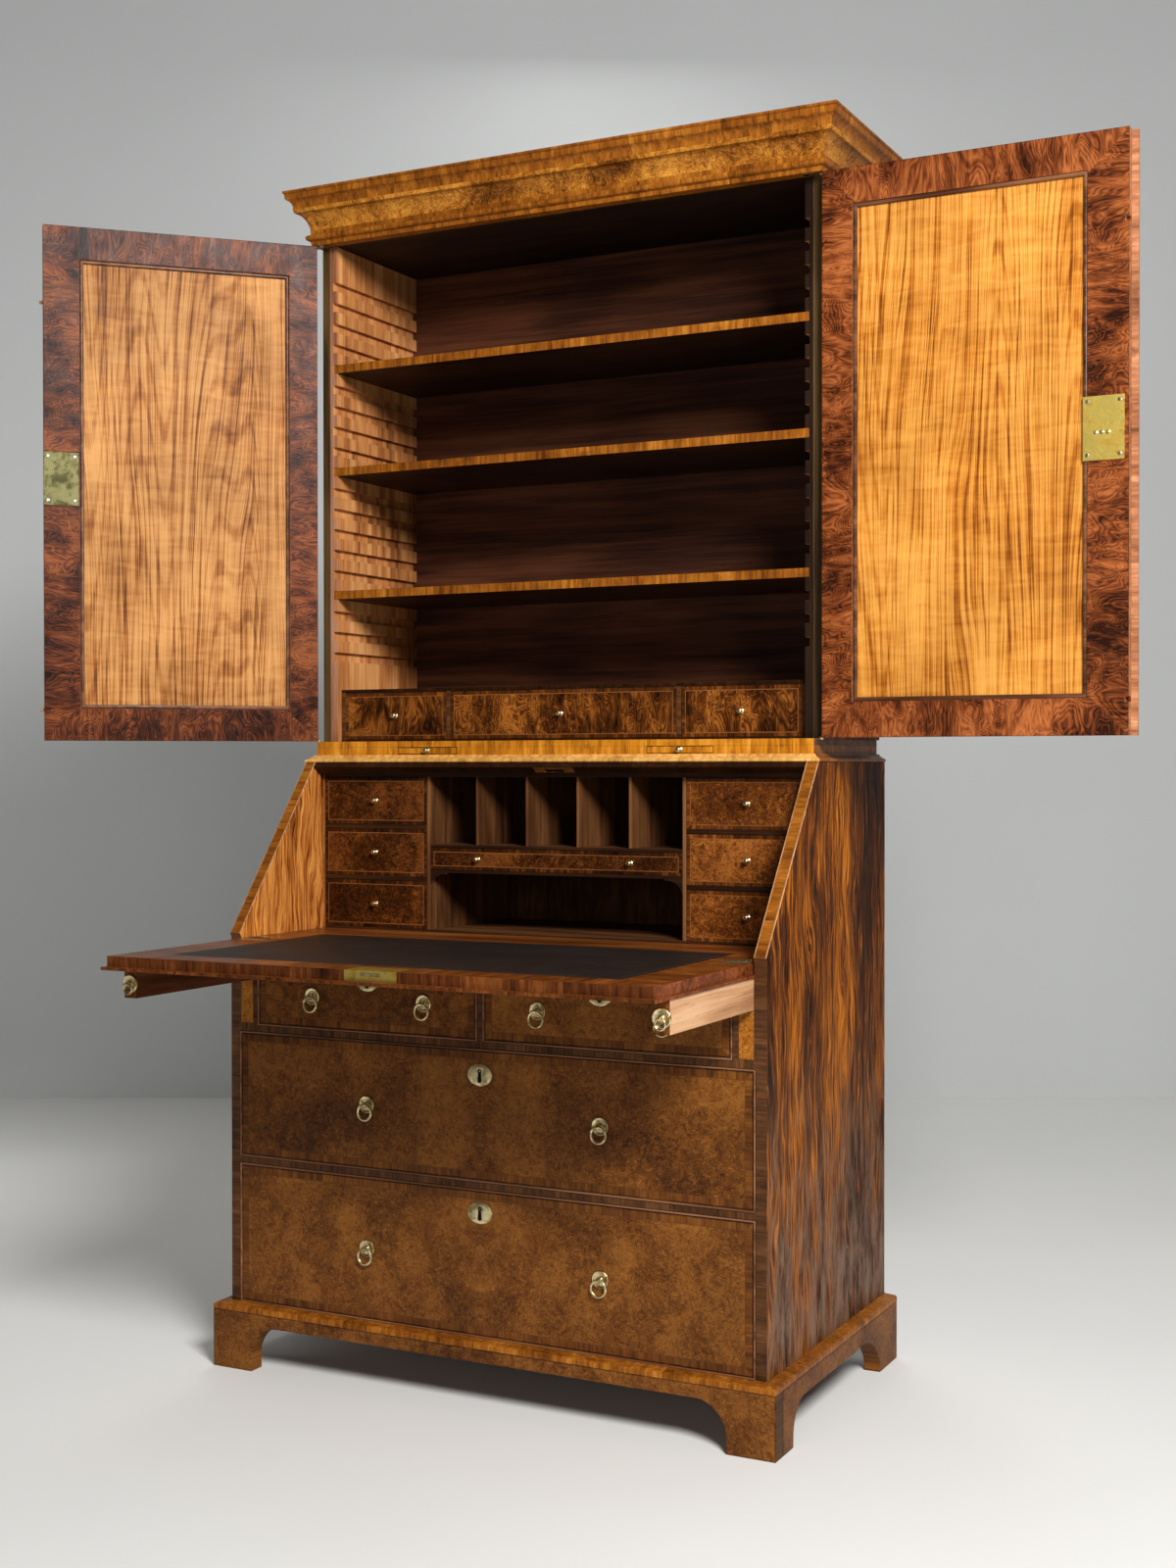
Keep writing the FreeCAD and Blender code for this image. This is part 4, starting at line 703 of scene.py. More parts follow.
@dataclass(frozen=True)
class VeneerFinish:
    """A field of figured veneer with crossbanding and a line laid round it.

    Attributes:
        name: Name of the material.
        face: Rectangle that it is laid out on.
        figure: Figure of the field.
        palette: Colours of the field.
        size: Size of the field's curls.
        banding: Colours of the crossbanding.
        band_width: Width of the crossbanding, or 0 for none.
        line: Colour of the line between field and band.
        line_width: Width of that line.
        rim: Width of the dark rim at the edge: wear, and with a near-black rim_shade painted shadow of the gap
            round the front.
        halves: Whether the field is two sheets opened like a book.
        rough: Mean roughness.
        coat: Weight of the polish.
        band_figure: Figure of the crossbanding.
        rim_shade: Brightness of the rim.
    """

    name: str
    face: Face
    figure: Figure
    palette: Palette
    size: float = 1.0
    banding: Palette = BURR_DARK
    band_width: float = 0.0
    line: Colour = tint(150, 96, 52)
    line_width: float = 0.0
    rim: float = 0.0
    halves: bool = False
    rough: float = 0.36
    coat: float = 0.035
    band_figure: Figure = Figure.CROSS
    rim_shade: float = 0.35

    def build(self) -> bpy.types.Material:
        """Makes the material."""
        bench = Bench(self.name)
        grain = Grain(bench)
        face = self.face
        across, upward, side_gap, end_gap = bench.measure(face)
        shift = (face.corner[0] * 3.1 + face.corner[2] * 1.7) % 1.0 + len(self.name) * 0.37
        spread = across
        if self.halves:
            spread = bench.math("ABSOLUTE", bench.math("SUBTRACT", across, face.width / 2))
        field_place = bench.combine([bench.math("ADD", spread, shift), shift, upward])
        tone, height = grain.figure(self.figure, field_place, self.size)
        colour = bench.ramp(tone, self.palette.stops())
        edge = bench.math("MINIMUM", side_gap, end_gap)
        if self.band_width:
            upright = bench.math("LESS_THAN", side_gap, end_gap)
            level = bench.math("SUBTRACT", 1.0, upright)
            run = bench.math(
                "ADD", bench.math("MULTIPLY", upright, upward), bench.math("MULTIPLY", level, across)
            )
            cut = bench.math(
                "ADD", bench.math("MULTIPLY", upright, across), bench.math("MULTIPLY", level, upward)
            )
            place = bench.combine([run, bench.math("MULTIPLY_ADD", upright, 0.7, shift), cut])
            band_tone, _ = grain.figure(self.band_figure, place, self.size)
            band_colour = bench.ramp(band_tone, self.banding.stops())
            inside = bench.band(edge, self.band_width - 0.0004, self.band_width + 0.0004)
            colour = bench.blend(inside, band_colour, colour)
            middle = self.band_width + self.line_width / 2
            joint = bench.math("ABSOLUTE", bench.math("SUBTRACT", edge, middle))
            thin = max(self.line_width, 0.0012) / 2
            on_line = bench.band(joint, thin + 0.0004, thin - 0.0002)
            fleck = bench.math("MULTIPLY_ADD", bench.noise(bench.place, 90.0, 3.0), 0.8, 0.35)
            colour = bench.blend(bench.math("MULTIPLY", on_line, fleck), colour, self.line)
        # Ragged dark rim at the edge: wear, and where rim_shade is near black, painted shadow of the gap round
        # the front.
        if self.rim:
            grit = bench.noise(bench.place, 60.0, 4.0, 0.6)
            ragged = bench.math("MULTIPLY_ADD", grit, self.rim * 1.2, edge)
            dark = bench.band(ragged, self.rim * 1.5, self.rim * 0.6)
            colour = bench.shade(dark, colour, self.rim_shade)
        soil = bench.band(bench.noise(bench.place, 5.0, 4.0, 0.6, 0.4), 0.34, 0.68)
        colour = bench.shade(bench.math("SUBTRACT", 1.0, soil), colour, 0.8)
        return bench.finish(
            colour, bench.uneven(self.rough, 22.0, 0.24), height, 0.0003, Coat_Weight=self.coat,
            Coat_Roughness=POLISH_ROUGH, Specular_IOR_Level=VENEER_SHEEN,
        )


@dataclass(frozen=True)
class StripFinish:
    """Crossbanding on a long member, such as a rail, edge or moulding.

    Attributes:
        name: Name of the material.
        palette: Its colours.
        axis: Direction that the member runs in.
        run: Length of one strip of veneer.
        rough: Mean roughness.
        coat: Weight of the polish.
        figure: Figure of the strips.
    """

    name: str
    palette: Palette
    axis: Axis
    run: float = STRIP_RUN
    rough: float = 0.36
    coat: float = 0.035
    figure: Figure = Figure.CROSS

    def build(self) -> bpy.types.Material:
        """Makes the material."""
        bench = Bench(self.name)
        grain = Grain(bench)
        parts = bench.split(bench.place)
        order = {Axis.X: (0, 1, 2), Axis.Y: (1, 0, 2), Axis.Z: (2, 1, 0)}[self.axis]
        where = bench.combine([parts[index] for index in order])
        crossed = self.figure is Figure.CROSS
        tone, height = grain.cross(where, self.run) if crossed else grain.figure(self.figure, where, 1.0)
        colour = bench.ramp(tone, self.palette.stops())
        if crossed:
            part = bench.math("FRACT", bench.math("DIVIDE", parts[order[0]], self.run))
            seam = bench.band(bench.math("ABSOLUTE", bench.math("SUBTRACT", part, 0.5)), 0.49, 0.497)
            colour = bench.shade(seam, colour, 0.6)
        grime = bench.band(bench.noise(bench.place, 34.0, 5.0, 0.65), 0.56, 0.7)
        colour = bench.shade(grime, colour, 0.66)
        return bench.finish(
            colour, bench.uneven(self.rough, 30.0, 0.24, 3.0), height, 0.0003, Coat_Weight=self.coat,
            Coat_Roughness=POLISH_ROUGH, Specular_IOR_Level=VENEER_SHEEN,
        )


@dataclass(frozen=True)
class MetalFinish:
    """Cast or sheet metal with tarnish.

    Attributes:
        name: Name of the material.
        clean: Colour where handling has polished it.
        tarnish: Colour where it is dull.
        rough: Mean roughness.
        grit: Depth of its pits.
        spot: Tarnish spots to the metre.
    """

    name: str
    clean: Colour
    tarnish: Colour
    rough: float = 0.34
    grit: float = 0.0002
    spot: float = 70.0

    def build(self) -> bpy.types.Material:
        """Makes the material."""
        bench = Bench(self.name)
        patch = bench.noise(bench.place, self.spot, 6.0, 0.65, 0.5)
        share = bench.band(patch, 0.42, 0.66)
        colour = bench.blend(share, self.clean, self.tarnish)
        pits = bench.noise(bench.place, 700.0, 3.0, 0.6)
        colour = bench.shade(bench.band(pits, 0.62, 0.74), colour, 0.6)
        rough = bench.math("MULTIPLY_ADD", share, 0.2, self.rough - 0.06)
        return bench.finish(colour, rough, pits, self.grit, Metallic=1.0)


@dataclass(frozen=True)
class LeatherFinish:
    """Old near-black desk leather, with a tooled line near its edge.

    Attributes:
        name: Name of the material.
        face: Rectangle that the tooled line follows.
        tool_inset: Distance of that line from the rectangle's edge.
    """

    name: str
    face: Face
    tool_inset: float = 12 * MM

    def build(self) -> bpy.types.Material:
        """Makes the material."""
        bench = Bench(self.name)
        pebble = bench.cells(bench.place, 1300.0)
        creases = bench.noise(bench.place, 240.0, 6.0, 0.7, 0.8)
        cloud = bench.noise(bench.place, 7.0, 4.0, 0.6)
        blacks = [(0.3, tint(17, 13, 11)), (0.55, tint(30, 22, 18)), (0.8, tint(56, 40, 30))]
        colour = bench.ramp(bench.mixed((cloud, 0.5), (creases, 0.5)), blacks)
        scuff = bench.band(bench.noise(Grain(bench).stretched(bench.place, 0.6), 46.0, 7.0, 0.75), 0.58, 0.72)
        colour = bench.blend(bench.math("MULTIPLY", scuff, 0.5), colour, tint(84, 62, 46))
        edge = bench.math("MINIMUM", *bench.measure(self.face)[2:])
        off_line = bench.math("ABSOLUTE", bench.math("SUBTRACT", edge, self.tool_inset))
        tool = bench.band(off_line, 0.0012, 0.0006)
        colour = bench.blend(bench.math("MULTIPLY", tool, 0.4), colour, tint(96, 72, 40))
        skin = bench.math("MULTIPLY_ADD", creases, 0.5, pebble)
        height = bench.math("SUBTRACT", skin, bench.math("MULTIPLY", tool, 0.8))
        rough = bench.math("MULTIPLY_ADD", cloud, 0.3, 0.42)
        return bench.finish(colour, rough, height, 0.00025, Specular_IOR_Level=0.4)


@dataclass(frozen=True)
class StudioFinish:
    """Plain painted surface of the room.

    Attributes:
        name: Name of the material.
        colour: Its colour.
        one_sided: Whether it is clear from behind.
    """

    name: str
    colour: Colour
    one_sided: bool = False

    def build(self) -> bpy.types.Material:
        """Makes the material."""
        bench = Bench(self.name)
        cloud = bench.noise(bench.place, 1.3, 3.0)
        colour = bench.shade(bench.band(cloud, 0.3, 0.7), self.colour, 0.97)
        rough = bench.math("MULTIPLY_ADD", cloud, 0.1, 0.6)
        return bench.finish(colour, rough, cloud, 0.0001, self.one_sided)


class Finishes:
    """Materials that several sub-assemblies share, each made once."""

    def __init__(self) -> None:
        """Starts with none made."""
        self.made: dict[str, bpy.types.Material] = {}

    def get(self, finish: object) -> bpy.types.Material:
        """Gives the material of a finish, and makes it the first time.

        Args:
            finish: The finish.

        Returns:
            Its material.
        """
        if finish.name not in self.made:
            self.made[finish.name] = finish.build()
        return self.made[finish.name]


BRASS = MetalFinish("aged_brass_casting", tint(232, 214, 164), tint(150, 128, 84), 0.32)
BRASS_SHEET = MetalFinish("lock_brass_sheet", tint(232, 204, 104), tint(178, 144, 62), 0.44, 0.0003, 46.0)
# Dull brass darkened further for the left door's keep: painted shade.
KEEP_SHEET_SHADED = MetalFinish("dull_keep_brass_painted_shade", tint(92, 88, 58), tint(82, 78, 50), 0.5, 0.0002, 46.0)
SILVERY = MetalFinish("bright_screw_steel", tint(196, 192, 184), tint(128, 122, 112), 0.32)


class Look(Enum):
    """Which way a face looks."""

    FRONT = (0.0, -1.0, 0.0)
    BACK = (0.0, 1.0, 0.0)
    RIGHT = (1.0, 0.0, 0.0)
    LEFT = (-1.0, 0.0, 0.0)

    def sees(self, normal: Vector) -> bool:
        """Tells whether a normal looks this way."""
        return normal.dot(Vector(self.value)) > FACING


Chooser = Callable[[int, Vector, Vector, Vector, Vector], int]


def all_alike(number: int, low: Vector, high: Vector, middle: Vector, normal: Vector) -> int:
    """Gives every face the first finish."""
    return 0


def by_solid(number: int, low: Vector, high: Vector, middle: Vector, normal: Vector) -> int:
    """Gives the first solid the first finish, and every other the second."""
    return min(number, 1)


def by_front(number: int, low: Vector, high: Vector, middle: Vector, normal: Vector) -> int:
    """Gives front faces the second finish, and all others the first."""
    return int(Look.FRONT.sees(normal))


def box_of(points: Iterable[Vector]) -> tuple[Vector, Vector]:
    """Gives the low and high corners of the box round some points."""
    columns = list(zip(*points))
    return Vector([min(column) for column in columns]), Vector([max(column) for column in columns])


class Workshop:
    """Makes the dressed pieces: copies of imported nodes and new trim."""

    flat_angle = math.radians(0.4)
    merge_angle = math.radians(0.3)

    def __init__(self, finishes: Finishes) -> None:
        """Keeps the shared finishes.

        Args:
            finishes: Shared finishes.
        """
        self.finishes = finishes
        self.count = 0

    def shells(self, mesh: bpy.types.Mesh) -> list[int]:
        """Finds which closed solid each face of a node belongs to.

        Args:
            mesh: The node's mesh, whose faces lie solid by solid.

        Returns:
            The solid's number for each face.
        """
        spots = [tuple(round(value * 1e7) for value in vertex.co) for vertex in mesh.vertices]
        open_edges: set[frozenset] = set()
        numbers: list[int] = []
        number = 0
        for polygon in mesh.polygons:
            numbers.append(number)
            keys = [spots[index] for index in polygon.vertices]
            for first, second in zip(keys, keys[1:] + keys[:1]):
                if first != second:
                    open_edges ^= {frozenset((first, second))}
            if not open_edges:
                number += 1
        return numbers

    def place(
        self, mesh: bmesh.types.BMesh, name: str, body: str, slot: str, edge: float
    ) -> bpy.types.Object:
        """Makes an object of a mesh, softens its edges and lets it ride.

        Args:
            mesh: Finished mesh, which is freed.
            name: Name of the piece.
            body: Body that it rides on.
            slot: Slot of the record that its finish belongs to; not used.
            edge: Width of the softened edges, or 0.

        Returns:
            The object.
        """
        data = bpy.data.meshes.new(name)
        mesh.to_mesh(data)
        mesh.free()
        piece = bpy.data.objects.new(name, data)
        bpy.context.scene.collection.objects.link(piece)
        if edge:
            bevel = piece.modifiers.new("soft_edges", "BEVEL")
            bevel.width = edge
            bevel.segments = 2
            bevel.limit_method = "ANGLE"
            bevel.angle_limit = SOFT_ANGLE
            bevel.profile = 0.5
            bevel.material = -1
            bevel.harden_normals = False
        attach(piece, body)
        self.count += 1
        log.info("%s rides on %s with %d faces", name, body, len(data.polygons))
        return piece

    def shade_faces(self, mesh: bmesh.types.BMesh) -> None:
        """Smooths rounded faces and keeps flat faces and sharp edges.

        Args:
            mesh: Mesh to mark.
        """
        mesh.normal_update()
        for face in mesh.faces:
            face.smooth = False
        for edge in mesh.edges:
            if len(edge.link_faces) == 2:
                turn = edge.calc_face_angle(math.pi)
                if self.flat_angle < turn < SOFT_ANGLE:
                    for face in edge.link_faces:
                        face.smooth = True
                edge.smooth = turn < SOFT_ANGLE

    def solid_box(self, node: str, number: int) -> tuple[Vector, Vector]:
        """Gives the box of one solid of a node.

        Args:
            node: Name of the node.
            number: Number of the solid.

        Returns:
            Its low and high corners.
        """
        return box_of(self.corners(node, number))

    def corners(self, node: str, number: int) -> list[Vector]:
        """Gives the corners of one solid of a node.

        Args:
            node: Name of the node.
            number: Number of the solid.

        Returns:
            Its corners, once for each face that they are on.
        """
        data = frame["nodes"][node].data
        return [
            data.vertices[index].co
            for polygon, shell in zip(data.polygons, self.shells(data))
            if shell == number
            for index in polygon.vertices
        ]

    def seat(self, node: str, number: int) -> Triple:
        """Gives the middle of a solid's back, where it sits on what carries it."""
        low, high = self.solid_box(node, number)
        return ((low.x + high.x) / 2, high.y, (low.z + high.z) / 2)

    def body(self, node: str) -> str:
        """Gives the body that a node rides on."""
        return frame["nodes"][node]["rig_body"]

    def dressed(
        self,
        node: str,
        finishes: Sequence[object],
        choose: Chooser,
        slot: str,
        edge: float = 0.7 * MM,
        leave_out: Iterable[int] = (),
    ) -> bpy.types.Object:
        """Copies a node, gives each face its finish and softens the edges.

        Args:
            node: Name of the node, which the piece then stands for.
            finishes: Finishes in the order of the chooser's numbers.
            choose: Gives the finish for a solid's number and box, and a face's middle and normal.
            slot: Slot of the record that its finish belongs to.
            edge: Width of the softened edges.
            leave_out: Numbers of the solids that new pieces stand for.

        Returns:
            The piece.
        """
        source = frame["nodes"][node]
        mesh = bmesh.new()
        mesh.from_mesh(source.data)
        layer = mesh.faces.layers.int.new("solid")
        groups: dict[int, list] = {}
        for face, number in zip(mesh.faces, self.shells(source.data)):
            face[layer] = number
            groups.setdefault(number, []).append(face)
        for faces in list(groups.values()):
            corners = {vertex for face in faces for vertex in face.verts}
            bmesh.ops.remove_doubles(mesh, verts=list(corners), dist=1e-6)
        bmesh.ops.dissolve_limit(mesh, angle_limit=self.merge_angle, verts=mesh.verts[:], edges=mesh.edges[:])
        left_out = set(leave_out)
        gone = [face for face in mesh.faces if face[layer] in left_out]
        bmesh.ops.delete(mesh, geom=gone, context="FACES")
        groups = {}
        for face in mesh.faces:
            groups.setdefault(face[layer], []).append(face)
        for number, faces in groups.items():
            low, high = box_of(vertex.co for face in faces for vertex in face.verts)
            for face in faces:
                face.material_index = choose(number, low, high, face.calc_center_median(), face.normal)
        self.shade_faces(mesh)
        mesh.faces.layers.int.remove(layer)
        piece = self.place(mesh, node + "_piece", source["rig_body"], slot, edge)
        for finish in finishes:
            piece.data.materials.append(self.finishes.get(finish))
        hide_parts(node)
        return piece

    def trim(
        self, mesh: bmesh.types.BMesh, name: str, body: str, finish: object, slot: str
    ) -> bpy.types.Object:
        """Ends a new piece of trim in one finish.

        Args:
            mesh: Its mesh.
            name: Its name.
            body: Body that it rides on.
            finish: Its finish.
            slot: Slot of the record that its finish belongs to.

        Returns:
            The piece.
        """
        bmesh.ops.recalc_face_normals(mesh, faces=mesh.faces[:])
        self.shade_faces(mesh)
        piece = self.place(mesh, name, body, slot, 0.0)
        piece.data.materials.append(self.finishes.get(finish))
        return piece


class Turnery:
    """Shapes small parts with the modelling operators."""

    @staticmethod
    def move(mesh: bmesh.types.BMesh, matrix: Matrix, verts: Optional[list] = None) -> None:
        """Transforms a mesh or some of its corners."""
        bmesh.ops.transform(mesh, matrix=matrix, verts=verts or mesh.verts[:])

    @staticmethod
    def turned(
        mesh: bmesh.types.BMesh, profile: Sequence[tuple[float, float]], matrix: Matrix, steps: int = 32
    ) -> list:
        """Turns a profile round its axis.

        Args:
            mesh: Mesh to add to.
            profile: Radius and height of each point, from the axis to the axis.
            matrix: Where the axis, local Z, goes.
            steps: Facets round.

        Returns:
            The new corners.
        """
        before = set(mesh.verts)
        points = [mesh.verts.new((radius, 0.0, height)) for radius, height in profile]
        edges = [mesh.edges.new(pair) for pair in zip(points, points[1:])]
        bmesh.ops.spin(
            mesh,
            geom=points + edges,
            cent=(0, 0, 0),
            axis=(0, 0, 1),
            angle=math.tau,
            steps=steps,
            use_merge=True,
        )
        made = [vertex for vertex in mesh.verts if vertex not in before]
        bmesh.ops.remove_doubles(mesh, verts=made, dist=1e-6)
        made = [vertex for vertex in mesh.verts if vertex not in before]
        bmesh.ops.transform(mesh, matrix=matrix, verts=made)
        return made

    @staticmethod
    def block(mesh: bmesh.types.BMesh, low: Sequence[float], high: Sequence[float]) -> list:
        """Adds a box between two corners.

        Args:
            mesh: Mesh to add to.
            low: Low corner.
            high: High corner.

        Returns:
            Its corners.
        """
        size = Vector(high) - Vector(low)
        middle = (Vector(high) + Vector(low)) / 2
        matrix = Matrix.Translation(middle) @ Matrix.Diagonal((*size, 1.0))
        return bmesh.ops.create_cube(mesh, size=1.0, matrix=matrix)["verts"]

    @staticmethod
    def facing(point: Sequence[float], normal: Sequence[float], turn: float = 0.0) -> Matrix:
        """Gives the place of a part whose local Z looks along a normal.

        Args:
            point: Its foot.
            normal: Direction that it looks in.
            turn: Its turn about that direction.

        Returns:
            The matrix.
        """
        look = Vector(normal).to_track_quat("Z", "Y").to_matrix().to_4x4()
        return Matrix.Translation(Vector(point)) @ look @ Matrix.Rotation(turn, 4, "Z")

    def ring_bead(
        self, mesh: bmesh.types.BMesh, matrix: Matrix, width: float, height: float, bead: float, proud: float
    ) -> list:
        """Adds a rounded bead round a rectangle, mitred at its corners.

        Args:
            mesh: Mesh to add to.
            matrix: Where the rectangle's middle and its local Z go.
            width: Outer width, along local X.
            height: Outer height, along local Y.
            bead: Width of the bead.
            proud: Height of the bead.

        Returns:
            Its corners.
        """
        before = set(mesh.verts)
        bmesh.ops.create_grid(
            mesh, x_segments=1, y_segments=1, size=0.5, matrix=Matrix.Diagonal((width, height, 1.0, 1.0))
        )
        sheet = [face for face in mesh.faces if all(vertex not in before for vertex in face.verts)]
        inset = bmesh.ops.inset_region(
            mesh, faces=sheet, thickness=bead, depth=0.0, use_boundary=True, use_even_offset=True
        )
        bmesh.ops.delete(mesh, geom=sheet, context="FACES")
        raised = bmesh.ops.extrude_face_region(mesh, geom=inset["faces"])
        tops = [item for item in raised["geom"] if isinstance(item, bmesh.types.BMVert)]
        bmesh.ops.translate(mesh, vec=(0, 0, proud), verts=tops)
        crown = [
            edge
            for edge in mesh.edges
            if all(vertex in tops for vertex in edge.verts) and len(edge.link_faces) == 2
            and edge.calc_face_angle(0.0) > 1.0
        ]
        bmesh.ops.bevel(
            mesh, geom=crown, offset=min(proud, bead / 2) * 0.92, offset_type="OFFSET", segments=3,
            profile=0.5, affect="EDGES", material=-1, clamp_overlap=True,
        )
        made = [vertex for vertex in mesh.verts if vertex not in before]
        self.move(mesh, matrix, made)
        return made

    def screw(
        self,
        mesh: bmesh.types.BMesh,
        point: Sequence[float],
        normal: Sequence[float],
        radius: float,
        turn: float,
    ) -> None:
        """Adds a slotted screw head.

        Args:
            mesh: Mesh to add to.
            point: Middle of its foot.
            normal: Direction that it looks in.
            radius: Its radius.
            turn: Turn of its slot.
        """
        before = set(mesh.verts)
        profile = [(0, 0), (radius, 0), (radius, 0.25 * MM), (radius * 0.7, 0.55 * MM), (0, 0.66 * MM)]
        self.turned(mesh, profile, Matrix(), 20)
        for side in (-1, 1):
            geom = [item for item in mesh.verts if item not in before]
            geom += [edge for edge in mesh.edges if edge.verts[0] not in before]
            geom += [face for face in mesh.faces if face.verts[0] not in before]
            cut = (0, side * radius * 0.16, 0)
            bmesh.ops.bisect_plane(mesh, geom=geom, plane_co=cut, plane_no=DEEP, dist=1e-7)
        slot = [
            vertex
            for vertex in mesh.verts
            if vertex not in before and vertex.co.z > 0.2 * MM and abs(vertex.co.y) < radius * 0.17
        ]
        inner = [face for face in mesh.faces if all(vertex in slot for vertex in face.verts)]
        dug = bmesh.ops.extrude_face_region(mesh, geom=inner)
        lowered = [item for item in dug["geom"] if isinstance(item, bmesh.types.BMVert)]
        bmesh.ops.delete(mesh, geom=[face for face in inner if face.is_valid], context="FACES_ONLY")
        bmesh.ops.translate(mesh, vec=(0, 0, -0.22 * MM), verts=lowered)
        made = [vertex for vertex in mesh.verts if vertex not in before]
        self.move(mesh, self.facing(point, normal, turn), made)


FRONT_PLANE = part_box("drawer_rails")[0].y
SLOPE = math.radians(52.6)

CHEEK_WOOD = BoardFinish("slope_cheek_walnut", CHEEK, Axis.Z, streaky=True)
INNER_X = BoardFinish("inner_walnut_level", INNER, Axis.X, rough=0.5, coat=0.04)
INNER_Z = BoardFinish("inner_walnut_upright", INNER, Axis.Z, rough=0.5, coat=0.04)
# Near-black roof wood: painted shade inside the top of the bookcase.
ROOF_SHADE_WOOD = BoardFinish("bookcase_roof_painted_shade", ROOF, Axis.X, rough=0.6, coat=0.0)
OAK_X = BoardFinish("drawer_oak_level", OAK, Axis.X, rough=0.62, coat=0.0)
OAK_Y = BoardFinish("drawer_oak_deep", OAK, Axis.Y, rough=0.62, coat=0.0)
# Backs in the darkened wood: old dark wood, and painted shade inside the bookcase.
BACKING = BoardFinish("backing_oak", SMOKED_AND_SHADED, Axis.X, rough=0.66, coat=0.0)
BOOK_BACK = BoardFinish("bookcase_back_walnut", SMOKED_AND_SHADED, Axis.X, 1.6, rough=0.55, coat=0.0)
# Black for the inside of a keyhole: painted shadow.
KEYHOLE_SHADOW = BoardFinish("keyhole_painted_shadow", PAINTED_SHADOW_BLACK, Axis.X, rough=0.8, coat=0.0)
RAIL_X = StripFinish("rail_crossbanding_level", RAIL_WOOD, Axis.X)
RAIL_Z = StripFinish("rail_crossbanding_upright", RAIL_WOOD, Axis.Z)
HONEY_X = StripFinish("honey_crossbanding_level", HONEY, Axis.X)
HONEY_Y = StripFinish("honey_crossbanding_deep", HONEY, Axis.Y)
CASE_EDGE = BoardFinish("case_edge_wood", CASE_RIM, Axis.Z)
WORN_X = StripFinish("worn_golden_edge_level", WORN_GOLD, Axis.X)
GOLDEN_X = StripFinish("plinth_golden_level", SUNNY, Axis.X, 0.095)
FALL_EDGE_X = StripFinish("fall_edge_level", FALL_EDGE, Axis.X)
DUSKY_X = StripFinish("dusky_edge_level", DUSKY, Axis.X)
RUSSET_Z = StripFinish("russet_edge_upright", RUSSET, Axis.Z)
# Beads round the drawers in the lighter copy: painted highlight.
OPENING_BEAD = BoardFinish("opening_bead_lit_walnut", BEAD_LIT, Axis.X, rough=0.34, coat=0.1)
# Black line outside the drawer beads: painted shadow of the gap.
SHADOW_GAP_LINE = BoardFinish("bead_gap_shadow_line", GAP_PAINTED_SHADOW, Axis.X, rough=0.8, coat=0.0)
BEAD_WOOD = BoardFinish("bead_walnut", BEAD_BROWN, Axis.X, rough=0.34, coat=0.1)
PALE_EDGE = StripFinish("pale_edge_upright", WORN_PALE, Axis.Z)


